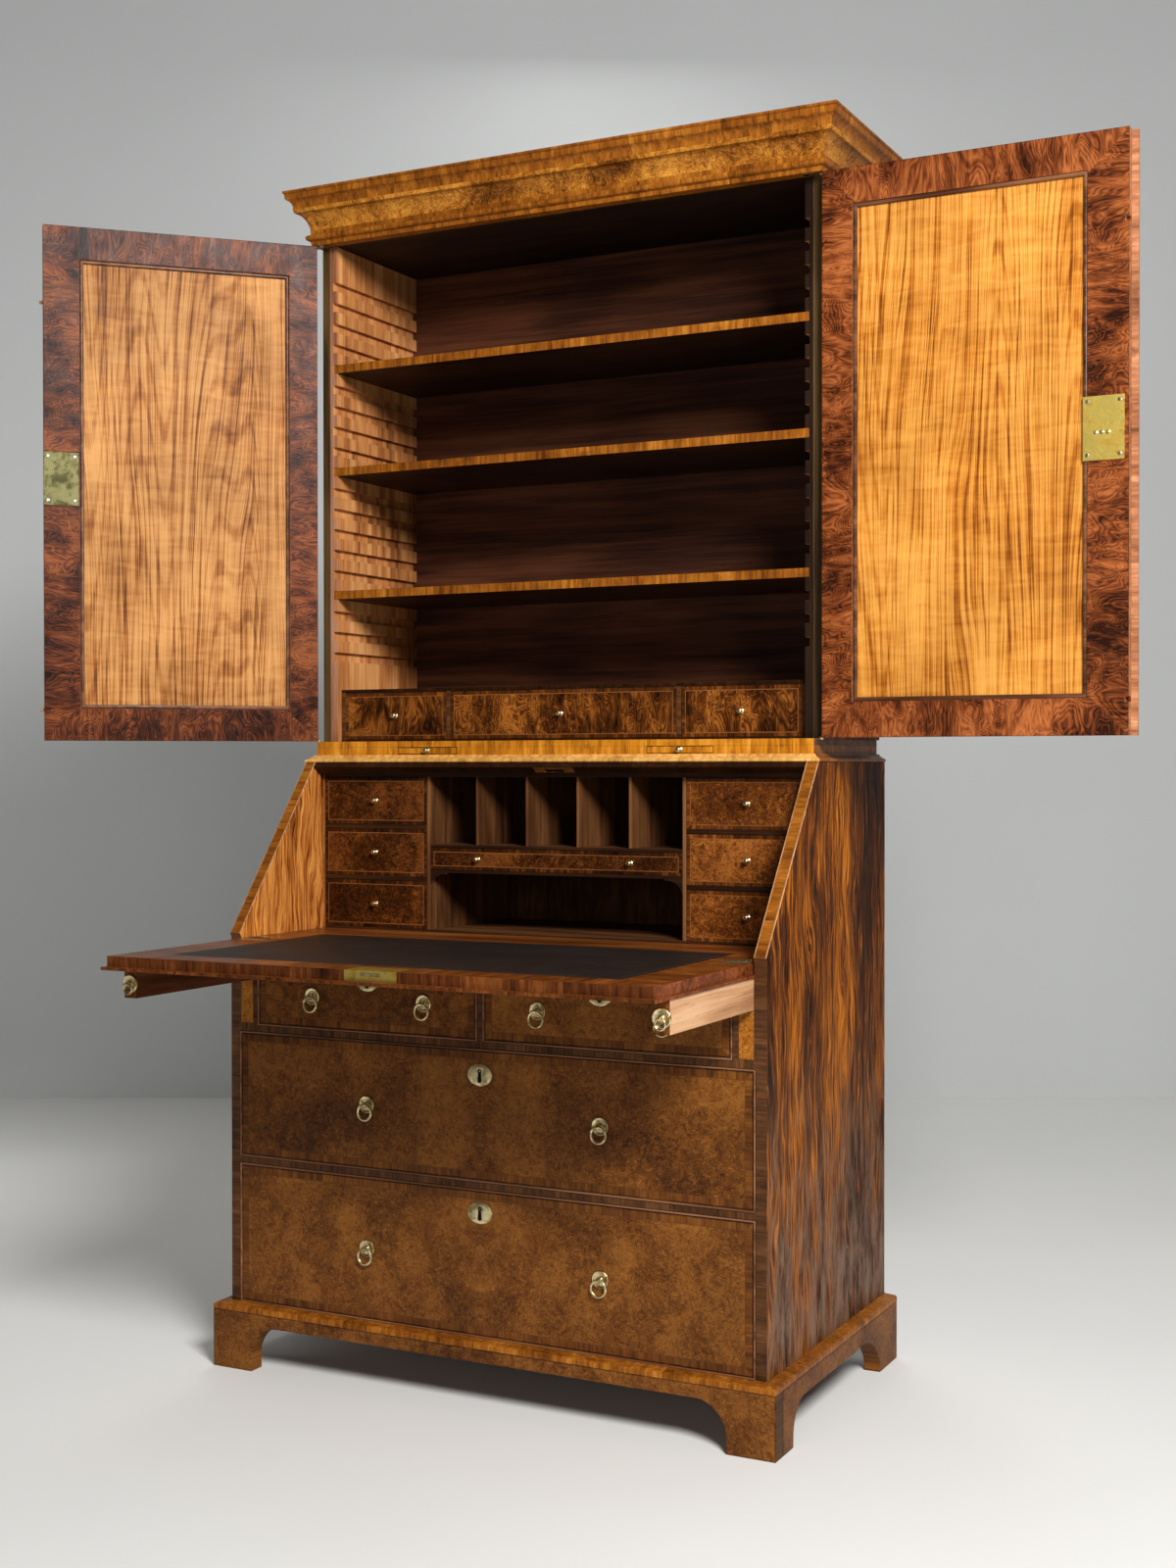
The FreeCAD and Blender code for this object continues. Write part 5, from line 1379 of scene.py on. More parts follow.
@dataclass
class Carcase:
    """Sides, boards, rails, base and mouldings of the bureau.

    Attributes:
        shop: Workshop that makes the pieces.
        bead: Width of the bead round a drawer's opening.
        line: Width of the black line outside the bead, painted shadow of the gap there.
        proud: Height of that bead.
        gap: Room between a drawer's front and its opening.
        side: Thickness of a side.
        slope_run: Length of the slope.
        depth: Depth of the bracket base.
    """

    shop: Workshop
    bead: float = 2.6 * MM
    line: float = 1.0 * MM
    proud: float = 1.5 * MM
    gap: float = 1.0 * MM
    side: float = 22 * MM
    slope_run: float = 0.5
    depth: float = 553 * MM

    def build(self) -> None:
        """Makes all its pieces."""
        for node in ("bureau_side_left", "bureau_side_right"):
            self.dress_side(node)
        self.dress_boards()
        self.dress_rails()
        self.dress_base()
        for node in ("long_drawer_lower", "long_drawer_upper", "short_drawer_left", "short_drawer_right"):
            self.lay_bead(node)

    def dress_side(self, node: str) -> None:
        """Veneers one side: outer face, front edge, slope and cheek.

        Args:
            node: Name of the side's node.
        """
        low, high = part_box(node)
        left = node.endswith("left")
        slope = Face(
            (low.x, FRONT_PLANE - 0.06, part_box("fall_board")[1].z - 0.09),
            (0.0, math.cos(SLOPE), math.sin(SLOPE)),
            ACROSS,
            self.slope_run,
            self.side,
        )
        # The bureau's sides grey towards the bottom: dust, and painted reflection of the pale floor.
        outer = BoardFinish("side_veneer", SIDE, Axis.Z, 1.0, 0.4, 0.0, 0.85, True)
        slope_finish = VeneerFinish(
            node + "_slope_veneer", slope, Figure.CROSS, HONEY, banding=PALE, band_width=2.4 * MM
        )
        finishes = [outer, RAIL_Z, slope_finish, CHEEK_WOOD, BACKING]

        def choose(number: int, low: Vector, high: Vector, middle: Vector, normal: Vector) -> int:
            """Sorts the side's faces."""
            if normal.y < -0.3 and normal.z > 0.3:
                return 2
            if Look.FRONT.sees(normal):
                return 1
            if (Look.LEFT if left else Look.RIGHT).sees(normal):
                return 0
            return 3 if (Look.RIGHT if left else Look.LEFT).sees(normal) else 4

        self.shop.dressed(node, finishes, choose, "walnut_veneer", 0.9 * MM)

    def dress_boards(self) -> None:
        """Finishes the bottom, back, top and desk floor."""
        for node in ("bureau_bottom", "bureau_back"):
            self.shop.dressed(node, [BACKING, RAIL_X], by_front, "plain_oak")
        # The top's front edge takes the dark dusky strip as painted shadow under the waist moulding.
        self.shop.dressed(
            "bureau_top", [INNER_X, DUSKY_X],
            lambda number, low, high, middle, normal: int(normal.y < -0.4), "walnut_veneer",
        )
        leather = Face((-0.4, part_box("desk_floor")[0].y - 0.5, 0.0), ACROSS, DEEP, 0.8, 1.0)
        surround = BoardFinish("desk_floor_walnut", WALNUT, Axis.X, 1.2)
        hide = LeatherFinish("desk_floor_leather", leather)
        self.shop.dressed("desk_floor", [surround, hide], by_solid, "walnut_veneer", 0.4 * MM)

    def dress_rails(self) -> None:
        """Finishes dustboards, rails, divider and the lopers' channels."""
        panel = VeneerFinish(
            "loper_panel_burr", Face((-0.483, 0, 0.6), ACROSS, UPRIGHT, 0.966, 0.08), Figure.BURR, HONEY, 0.7
        )
        finishes = [RAIL_X, RAIL_Z, panel, OAK_X, OAK_Y]

        def choose(number: int, low: Vector, high: Vector, middle: Vector, normal: Vector) -> int:
            """Sorts the rails' faces by member."""
            if Look.FRONT.sees(normal):
                return 2 if number in (6, 7) else 1 if number in (2, 4, 5) else 0
            return 4 if number > 3 else 3

        self.shop.dressed("drawer_rails", finishes, choose, "plain_oak", 0.5 * MM)

    def dress_base(self) -> None:
        """Finishes the bracket base and the two mouldings."""
        low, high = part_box("bracket_base_front")
        face = Face((low.x, 0, 0), ACROSS, UPRIGHT, high.x - low.x, high.z)
        front = VeneerFinish("bracket_burr", face, Figure.BURR, LONG_BURR, 0.9, rim=3 * MM, rough=0.5)
        flank = Face((0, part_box("bracket_base_sides")[0].y, 0), DEEP, UPRIGHT, self.depth, high.z)
        side = VeneerFinish("bracket_burr_side", flank, Figure.BURR, LONG_BURR, 0.9, rim=3 * MM, rough=0.5)
        self.shop.dressed(
            "bracket_base_front", [front, BACKING],
            lambda number, low, high, middle, normal: int(Look.BACK.sees(normal)), "walnut_veneer", 1.4 * MM,
        )
        self.shop.dressed(
            "bracket_base_sides", [side, BACKING],
            lambda number, low, high, middle, normal: int(normal.x * middle.x < -0.3 * abs(middle.x)),
            "walnut_veneer", 1.4 * MM,
        )
        for node in ("base_moulding", "waist_moulding"):
            front = HONEY_X if node == "base_moulding" else WORN_X
            self.shop.dressed(node, [front, HONEY_Y], by_solid, "crossgrain_walnut", 0.4 * MM)

    def lay_bead(self, node: str) -> None:
        """Lays the bead round a drawer's opening, and a black line outside it as painted shadow of the gap.

        Args:
            node: Name of the drawer.
        """
        low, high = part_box(node)
        place = Turnery.facing(((low.x + high.x) / 2, FRONT_PLANE, (low.z + high.z) / 2), FORWARD)
        grow = 2 * self.gap
        # Two rings: the bead, then a black line outside it as painted shadow of the gap.
        for name, width, proud, finish in (
            ("bead", self.bead, self.proud, OPENING_BEAD), ("line", self.line, 0.3 * self.line, SHADOW_GAP_LINE),
        ):
            mesh = bmesh.new()
            grow += 2 * width
            Turnery().ring_bead(mesh, place, high.x - low.x + grow, high.z - low.z + grow, width, proud)
            self.shop.trim(mesh, f"{node}_opening_{name}", "cabinet", finish, "crossgrain_walnut")


@dataclass
class Brasswork:
    """Knobs, escutcheons and screws, turned and fitted.

    Attributes:
        shop: Workshop that makes the pieces.
        knob_length: Length of a knob.
        knob_radius: Radius of a knob.
        plate_width: Width of an escutcheon.
        plate_height: Height of an escutcheon.
        key_radius: Radius of a keyhole's round part.
        key_rise: Height of that part above the plate's middle.
    """

    shop: Workshop
    knob_length: float = 11 * MM
    knob_radius: float = 5 * MM
    plate_width: float = 46 * MM
    plate_height: float = 36 * MM
    key_radius: float = 3.9 * MM
    key_rise: float = 6.6 * MM

    def knob(self, body: str, name: str, point: Sequence[float]) -> None:
        """Turns a small knob on a drawer front.

        Args:
            body: Body that it rides on.
            name: Its name.
            point: Middle of its rose on the front.
        """
        shares = (
            (0, 0), (1.1, 0), (1.1, 0.06), (1.0, 0.11), (0.66, 0.14), (0.5, 0.2), (0.43, 0.3), (0.5, 0.37),
            (0.66, 0.4), (0.66, 0.44), (0.56, 0.47), (0.78, 0.53), (0.95, 0.63), (1.0, 0.73), (0.93, 0.85),
            (0.7, 0.94), (0.36, 0.99), (0, 1),
        )
        profile = [(radius * self.knob_radius, height * self.knob_length) for radius, height in shares]
        mesh = bmesh.new()
        Turnery.turned(mesh, profile, Turnery.facing(point, FORWARD), 28)
        self.shop.trim(mesh, name, body, BRASS, "aged_brass")

    def rose(self, body: str, name: str, point: Sequence[float]) -> None:
        """Turns the round dished rose behind a ring.

        Args:
            body: Body that it rides on.
            name: Its name.
            point: Its middle on the front.
        """
        outline = (
            (0, 0), (14.6, 0), (14.6, 1.9), (14.2, 2.6), (13.5, 2.9), (12.8, 2.7), (11.6, 2.1), (9.4, 1.5),
            (6.4, 1.2), (5.2, 1.2), (4.9, 2.2), (4.0, 3.2), (2.4, 3.8), (0, 4.0),
        )
        mesh = bmesh.new()
        profile = [(radius * MM, height * MM) for radius, height in outline]
        Turnery.turned(mesh, profile, Turnery.facing(point, FORWARD), 40)
        self.shop.trim(mesh, name, body, BRASS, "aged_brass")

    def keyhole(self, steps: int) -> list[Vector]:
        """Gives the outline of a keyhole, round above and flared below.

        Args:
            steps: Number of points.

        Returns:
            Points across and up from the plate's middle, evenly spaced from the top.
        """
        turns = [math.radians(90 - 10 * step) for step in range(15)]
        radius, rise = self.key_radius / MM, self.key_rise / MM
        right = [Vector((radius * math.cos(turn), rise + radius * math.sin(turn))) for turn in turns]
        foot, low = 4.0, -9.0
        right += [Vector((3.0, 2.8)), Vector((foot, low))]
        for turn in (0.5, 1.0, math.pi / 2):
            right.append(Vector((foot * math.cos(turn), low - 3.0 * math.sin(turn))))
        outline = right + [Vector((-point.x, point.y)) for point in reversed(right[1:-1])]
        outline.append(outline[0])
        lengths = [0.0]
        for first, second in zip(outline, outline[1:]):
            lengths.append(lengths[-1] + (second - first).length)
        spots = []
        for step in range(steps):
            goal = lengths[-1] * step / steps
            index = next(index for index in range(1, len(lengths)) if lengths[index] >= goal)
            share = (goal - lengths[index - 1]) / (lengths[index] - lengths[index - 1])
            spots.append(outline[index - 1].lerp(outline[index], share) * MM)
        return spots

    def escutcheon(self, body: str, name: str, point: Sequence[float], steps: int = 56) -> None:
        """Makes a domed oval plate round a real keyhole, with a pin, and a black block behind as painted
        shadow in the hole.

        Args:
            body: Body that it rides on.
            name: Its name.
            point: Middle of its foot on the front.
            steps: Facets round.
        """
        hole = self.keyhole(steps)
        angles = [math.pi / 2 - math.tau * step / steps for step in range(steps)]
        half_width, half_height = self.plate_width / 2, self.plate_height / 2
        oval = [Vector((math.cos(angle) * half_width, math.sin(angle) * half_height)) for angle in angles]
        levels = (
            (0, 0), (0, 1.45), (0.06, 1.58), (0.35, 1.56), (0.62, 1.36), (0.84, 0.98), (0.9, 0.78),
            (0.94, 0.9), (0.985, 0.74), (1, 0.4), (1, 0),
        )
        mesh = bmesh.new()
        loops = []
        for share, height in levels:
            spots = [inner.lerp(outer, share) for inner, outer in zip(hole, oval)]
            ring = [mesh.verts.new((spot.x, spot.y, height * MM)) for spot in spots]
            loops.append([mesh.edges.new(pair) for pair in zip(ring, ring[1:] + ring[:1])])
        for first, second in zip(loops, loops[1:] + loops[:1]):
            bmesh.ops.bridge_loops(mesh, edges=first + second)
        Turnery.move(mesh, Turnery.facing(point, FORWARD))
        self.shop.trim(mesh, name, body, BRASS, "aged_brass")
        # A black block behind the plate: painted shadow seen through the keyhole.
        dark = bmesh.new()
        x, y, z = point
        low = (x - 5 * MM, y - 0.2 * MM, z - 13 * MM)
        high = (x + 5 * MM, y - 0.02 * MM, z + 11 * MM)
        Turnery.block(dark, low, high)
        self.shop.trim(dark, name + "_shadow_behind", body, KEYHOLE_SHADOW, "aged_brass")
        pin = bmesh.new()
        profile = [(0, 0), (1.1 * MM, 0), (1.1 * MM, 0.9 * MM), (0.6 * MM, 1.2 * MM), (0, 1.25 * MM)]
        Turnery.turned(pin, profile, Turnery.facing((x, y, z + self.key_rise), FORWARD), 16)
        self.shop.trim(pin, name + "_pin", body, BRASS, "aged_brass")

    def screws(
        self, body: str, name: str, spots: Sequence[tuple], radius: float, finish: object = SILVERY
    ) -> None:
        """Drives slotted screws.

        Args:
            body: Body that they ride on.
            name: Name of the piece.
            spots: Point, normal and turn of each.
            radius: Radius of the heads.
            finish: Their finish.
        """
        mesh = bmesh.new()
        for point, normal, turn in spots:
            Turnery().screw(mesh, point, normal, radius, turn)
        self.shop.trim(mesh, name, body, finish, "aged_brass")


@dataclass
class Drawers:
    """All drawers with their fronts, linings and brasses.

    Attributes:
        shop: Workshop that makes the pieces.
        brass: Maker of the brasses.
        band: Width of the main drawers' crossbanding.
        small_band: Width of the small drawers' crossbanding.
        mounts: Solids that are the ring mounts or knobs.
        plate: Solid that is the escutcheon.
    """

    shop: Workshop
    brass: Brasswork
    band: float = 13 * MM
    small_band: float = 7 * MM
    mounts: tuple[int, int] = (5, 6)
    plate: int = 7

    def build(self) -> None:
        """Makes all drawers."""
        for node in ("long_drawer_lower", "long_drawer_upper", "short_drawer_left", "short_drawer_right"):
            # The near-black rim of each front is painted shadow of the gap round it in its opening.
            veneer = VeneerFinish(
                node + "_veneer", front_of(*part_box(node)), Figure.BURR, LONG_BURR, 0.8, LONG_BURR, self.band,
                halves=True, line=tint(92, 54, 24), line_width=0.8 * MM, rim=3.0 * MM, rim_shade=0.12,
            )
            self.dress(node, veneer, (self.plate,))
            body = self.shop.body(node)
            self.brass.escutcheon(body, node + "_escutcheon", self.shop.seat(node, self.plate))
            for number in self.mounts:
                self.brass.rose(body, f"{node}_rose_{number}", self.shop.seat(node, number))
            self.shop.dressed(node + "_rings", [BRASS], all_alike, "aged_brass", 0.0)
        for side in ("left", "right"):
            for number in (1, 2, 3):
                # The right column takes the lighter copy of the burr as painted light.
                wood = BURR_WARM if side == "left" else BURR_LIT
                self.small(f"desk_drawer_{side}_{number}", Figure.BURR, wood, 0.6)
        self.small("desk_shallow_drawer", Figure.BURR, BURR_WARM, 0.6)
        for side in ("left", "middle", "right"):
            self.small(f"bookcase_drawer_{side}", Figure.SWIRL, BURR_DEEP, 0.85)

    def dress(self, node: str, veneer: VeneerFinish, leave_out: Sequence[int]) -> None:
        """Dresses a drawer's box.

        Args:
            node: Name of its node.
            veneer: Finish of its front.
            leave_out: Solids that brasses stand for.
        """

        def choose(number: int, low: Vector, high: Vector, middle: Vector, normal: Vector) -> int:
            """Sorts the drawer's faces."""
            if number >= min(self.mounts):
                return 4
            if number:
                return 2 if number in (1, 2) else 3
            return 0 if Look.FRONT.sees(normal) else 1

        finishes = [veneer, INNER_X, OAK_Y, OAK_X, BRASS]
        self.shop.dressed(node, finishes, choose, "burr_walnut", 0.5 * MM, leave_out)

    def small(self, node: str, figure: Figure, palette: Palette, size: float) -> None:
        """Makes a drawer with knobs.

        Args:
            node: Name of its node.
            figure: Figure of its front.
            palette: Colours of its front.
            size: Size of the figure.
        """
        low, high = self.shop.solid_box(node, 0)
        veneer = VeneerFinish(
            node + "_veneer", front_of(low, high), figure, palette, size, palette, self.small_band,
            line_width=1.1 * MM, rim=1.6 * MM,
        )
        knobs = self.mounts if node == "desk_shallow_drawer" else self.mounts[:1]
        self.dress(node, veneer, knobs)
        for number in knobs:
            x, _, z = self.shop.seat(node, number)
            self.brass.knob(self.shop.body(node), f"{node}_knob_{number}", (x, low.y, z))


@dataclass
class Desk:
    """The fall, its lopers and what the desk holds.

    Attributes:
        shop: Workshop that makes the pieces.
        brass: Maker of the brasses.
        outer_band: Width of the crossbanding on the fall's outer face.
    """

    shop: Workshop
    brass: Brasswork
    outer_band: float = 26 * MM

    def build(self) -> None:
        """Makes all its pieces."""
        self.dress_fall()
        self.dress_brasses()
        self.dress_lopers()
        self.dress_pigeonholes()

    def dress_fall(self) -> None:
        """Dresses the fall's board, both faces, and its leather."""
        low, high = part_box("fall_board")
        flat = Face((low.x, low.y, 0.0), ACROSS, DEEP, high.x - low.x, high.y - low.y)
        top = VeneerFinish(
            "fall_surround", flat, Figure.SWIRL, FALL, 1.0, FALL, 0.3, rim=2 * MM, band_figure=Figure.CROSS
        )
        under = VeneerFinish(
            "fall_outer_burr", flat, Figure.BURR, BURR_DARK, 1.3, HONEY, self.outer_band, line_width=1.2 * MM,
            halves=True,
        )

        def choose(number: int, low: Vector, high: Vector, middle: Vector, normal: Vector) -> int:
            """Sorts the board's faces."""
            if normal.z > 0.4:
                return 0
            if normal.z < -0.4:
                return 1
            return 2 if abs(normal.y) > 0.4 else 3

        finishes = [top, under, FALL_EDGE_X, RUSSET_Z]
        self.shop.dressed("fall_board", finishes, choose, "walnut_veneer", 1.0 * MM)
        skin_low, skin_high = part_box("fall_leather")
        leather = Face((skin_low.x, skin_low.y, 0.0), ACROSS, DEEP, skin_high.x - skin_low.x, 0.6)
        hide = LeatherFinish("fall_leather_hide", leather)
        self.shop.dressed("fall_leather", [hide], all_alike, "desk_leather", 0.2 * MM)

    def dress_brasses(self) -> None:
        """Dresses the lock, its bolt, the hinges and the fixed brasses."""
        self.shop.dressed("fall_brasses", [BRASS_SHEET, BRASS], by_solid, "aged_brass", 0.3 * MM)
        for node in ("fall_bolt", "fixed_brasses"):
            self.shop.dressed(node, [BRASS], all_alike, "aged_brass", 0.3 * MM)

    def dress_lopers(self) -> None:
        """Dresses both lopers and their rings: pale outer sides as painted light, darker other sides as
        painted shade.
        """

        def choose(number: int, low: Vector, high: Vector, middle: Vector, normal: Vector) -> int:
            """Sorts a loper's faces."""
            if number:
                return 2
            if Look.FRONT.sees(normal):
                return 1
            return 3 if normal.x * middle.x > 0.5 * abs(middle.x) else 0

        for side in ("left", "right"):
            node = "loper_" + side
            # Outer sides take a pale copy of the wood as painted light and sheen, the other sides a dark copy
            # as painted shade of the fall.
            shaded_bar = BoardFinish(node + "_wood", LOPER_SHADED, Axis.Y, 1.5, 0.5, 0.05)
            lit_outer = BoardFinish(node + "_painted_light_wood", PALE, Axis.Y, 1.5, 0.5, 0.05)
            end = VeneerFinish(
                node + "_end_burr", front_of(*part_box(node)), Figure.BURR, BURR_DARK, 0.8, rim=1.5 * MM
            )
            self.shop.dressed(node, [shaded_bar, end, BRASS, lit_outer], choose, "walnut_veneer", 0.8 * MM)
            self.brass.rose(self.shop.body(node), node + "_rose", self.shop.seat(node, 1))
            self.shop.dressed("loper_ring_" + side, [BRASS], all_alike, "aged_brass", 0.0)

    def dress_pigeonholes(self) -> None:
        """Dresses the case of pigeonholes, light where its boards show their front edges."""
        edge_x = BoardFinish("pigeonhole_edge_level", DUSKY, Axis.X, 1.0, 0.46)
        edge_z = BoardFinish("pigeonhole_edge_upright", INNER_EDGE, Axis.Z, 1.0, 0.46)

        def choose(number: int, low: Vector, high: Vector, middle: Vector, normal: Vector) -> int:
            """Sorts the case's faces by board and side."""
            upright = (high - low).x < (high - low).z
            if Look.FRONT.sees(normal):
                return 3 if upright else 2
            return 1 if upright else 0

        finishes = [INNER_X, INNER_Z, edge_x, edge_z]
        self.shop.dressed("pigeonhole_case", finishes, choose, "walnut_veneer", 0.5 * MM)


@dataclass
class Bookcase:
    """Case of the bookcase with shelves, slides and cornice.

    Attributes:
        shop: Workshop that makes the pieces.
        brass: Maker of the brasses.
    """

    shop: Workshop
    brass: Brasswork

    def build(self) -> None:
        """Makes all its pieces."""
        self.dress_plinth()
        self.dress_case()
        self.dress_shelves()
        self.dress_cornice()

    def dress_plinth(self) -> None:
        """Dresses the slotted rail, the candle slides and the floor."""

        def choose(number: int, low: Vector, high: Vector, middle: Vector, normal: Vector) -> int:
            """Sorts the rail's faces."""
            if Look.FRONT.sees(normal):
                return 0
            return 1 if abs(normal.x) > FACING else 2

        finishes = [GOLDEN_X, HONEY_Y, INNER_X]
        self.shop.dressed("candle_slide_rail", finishes, choose, "crossgrain_walnut", 0.4 * MM)
        for side in ("left", "right"):
            node = "candle_slide_" + side
            low, high = self.shop.solid_box(node, 0)
            # The near-black rim of each slide's front is painted shadow of its slot.
            front = VeneerFinish(
                node + "_front", front_of(low, high), Figure.CROSS, SUNNY, rim=2.0 * MM, rim_shade=0.12
            )
            self.shop.dressed(node, [INNER_X, front], by_front, "crossgrain_walnut", 0.4 * MM, (1,))
            x, _, z = self.shop.seat(node, 1)
            self.brass.knob(self.shop.body(node), node + "_knob", (x, low.y, z))
        self.shop.dressed("bookcase_floor", [INNER_X, GOLDEN_X], by_front, "walnut_veneer", 0.5 * MM)

    def dress_case(self) -> None:
        """Dresses sides, back, top, linings and the drawers' case."""
        outer = BoardFinish("bookcase_side_veneer", SIDE, Axis.Z, 1.0, 0.4, 0.0, 0.0, True)

        def choose(number: int, low: Vector, high: Vector, middle: Vector, normal: Vector) -> int:
            """Sorts a side's faces."""
            if Look.FRONT.sees(normal):
                return 1
            return 0 if normal.x * middle.x > 0 else 2

        for node in ("bookcase_side_left", "bookcase_side_right"):
            self.shop.dressed(node, [outer, CASE_EDGE, INNER_Z], choose, "walnut_veneer", 0.8 * MM)
        lining = BoardFinish("lining_wood", LINING, Axis.Z, 1.2, 0.5, 0.0)
        edge = BoardFinish("lining_edge_wood", LINING_RIM, Axis.Z)
        shaded = BoardFinish("lining_edge_shaded_wood", LINING_SHADED, Axis.Z)

        def choose_edge(number: int, low: Vector, high: Vector, middle: Vector, normal: Vector) -> int:
            """Sorts a lining's faces."""
            if not Look.FRONT.sees(normal):
                return 0
            # The left lining's front edge keeps its wood; the right one's takes the near-black copy as painted
            # shade.
            return 1 if middle.x < 0 else 2

        finishes = [lining, edge, shaded]
        self.shop.dressed("grooved_linings", finishes, choose_edge, "walnut_veneer", 0.3 * MM)
        self.shop.dressed("bookcase_back", [BOOK_BACK], all_alike, "plain_oak")
        roof_edge = StripFinish("bookcase_top_edge", ROOF_RIM, Axis.X)
        # The roof's underside is near black: painted shade inside the top of the bookcase.
        self.shop.dressed("bookcase_top", [ROOF_SHADE_WOOD, roof_edge], by_front, "plain_oak")
        self.shop.dressed(
            "bookcase_drawer_case", [INNER_X, INNER_Z, DUSKY_X, RAIL_Z],
            lambda number, low, high, middle, normal: 2 * int(Look.FRONT.sees(normal))
            + int((high - low).x < (high - low).z),
            "walnut_veneer", 0.4 * MM,
        )

    def dress_shelves(self) -> None:
        """Dresses the three shelves with their crossbanded fronts."""
        # The shelves' wood is near black: painted shade under the shelves.
        wood = BoardFinish("shelf_painted_shade_wood", SHELF_SHADED, Axis.X, 1.6, 0.44, 0.1)
        for node in ("shelf_bottom", "shelf_middle", "shelf_top"):
            self.shop.dressed(node, [wood, HONEY_X], by_front, "walnut_veneer", 0.8 * MM)

    def dress_cornice(self) -> None:
        """Dresses the cornice, burr in its cove and crossgrain on its fillets."""
        burr_x = StripFinish("cornice_burr_front", GOLD_BURR, Axis.X, figure=Figure.BURR)
        burr_y = StripFinish("cornice_burr_return", GOLD_BURR, Axis.Y, figure=Figure.BURR)
        low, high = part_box("cornice")

        def choose(number: int, low: Vector, high: Vector, middle: Vector, normal: Vector) -> int:
            """Sorts the cornice's faces by member and height."""
            share = (middle.z - low.z) / (high.z - low.z)
            cove = 0.3 < share < 0.72 and normal.z < -0.1
            return min(number, 1) + (0 if cove else 2)

        finishes = [burr_x, burr_y, HONEY_X, HONEY_Y]
        self.shop.dressed("cornice", finishes, choose, "crossgrain_walnut", 0.4 * MM)


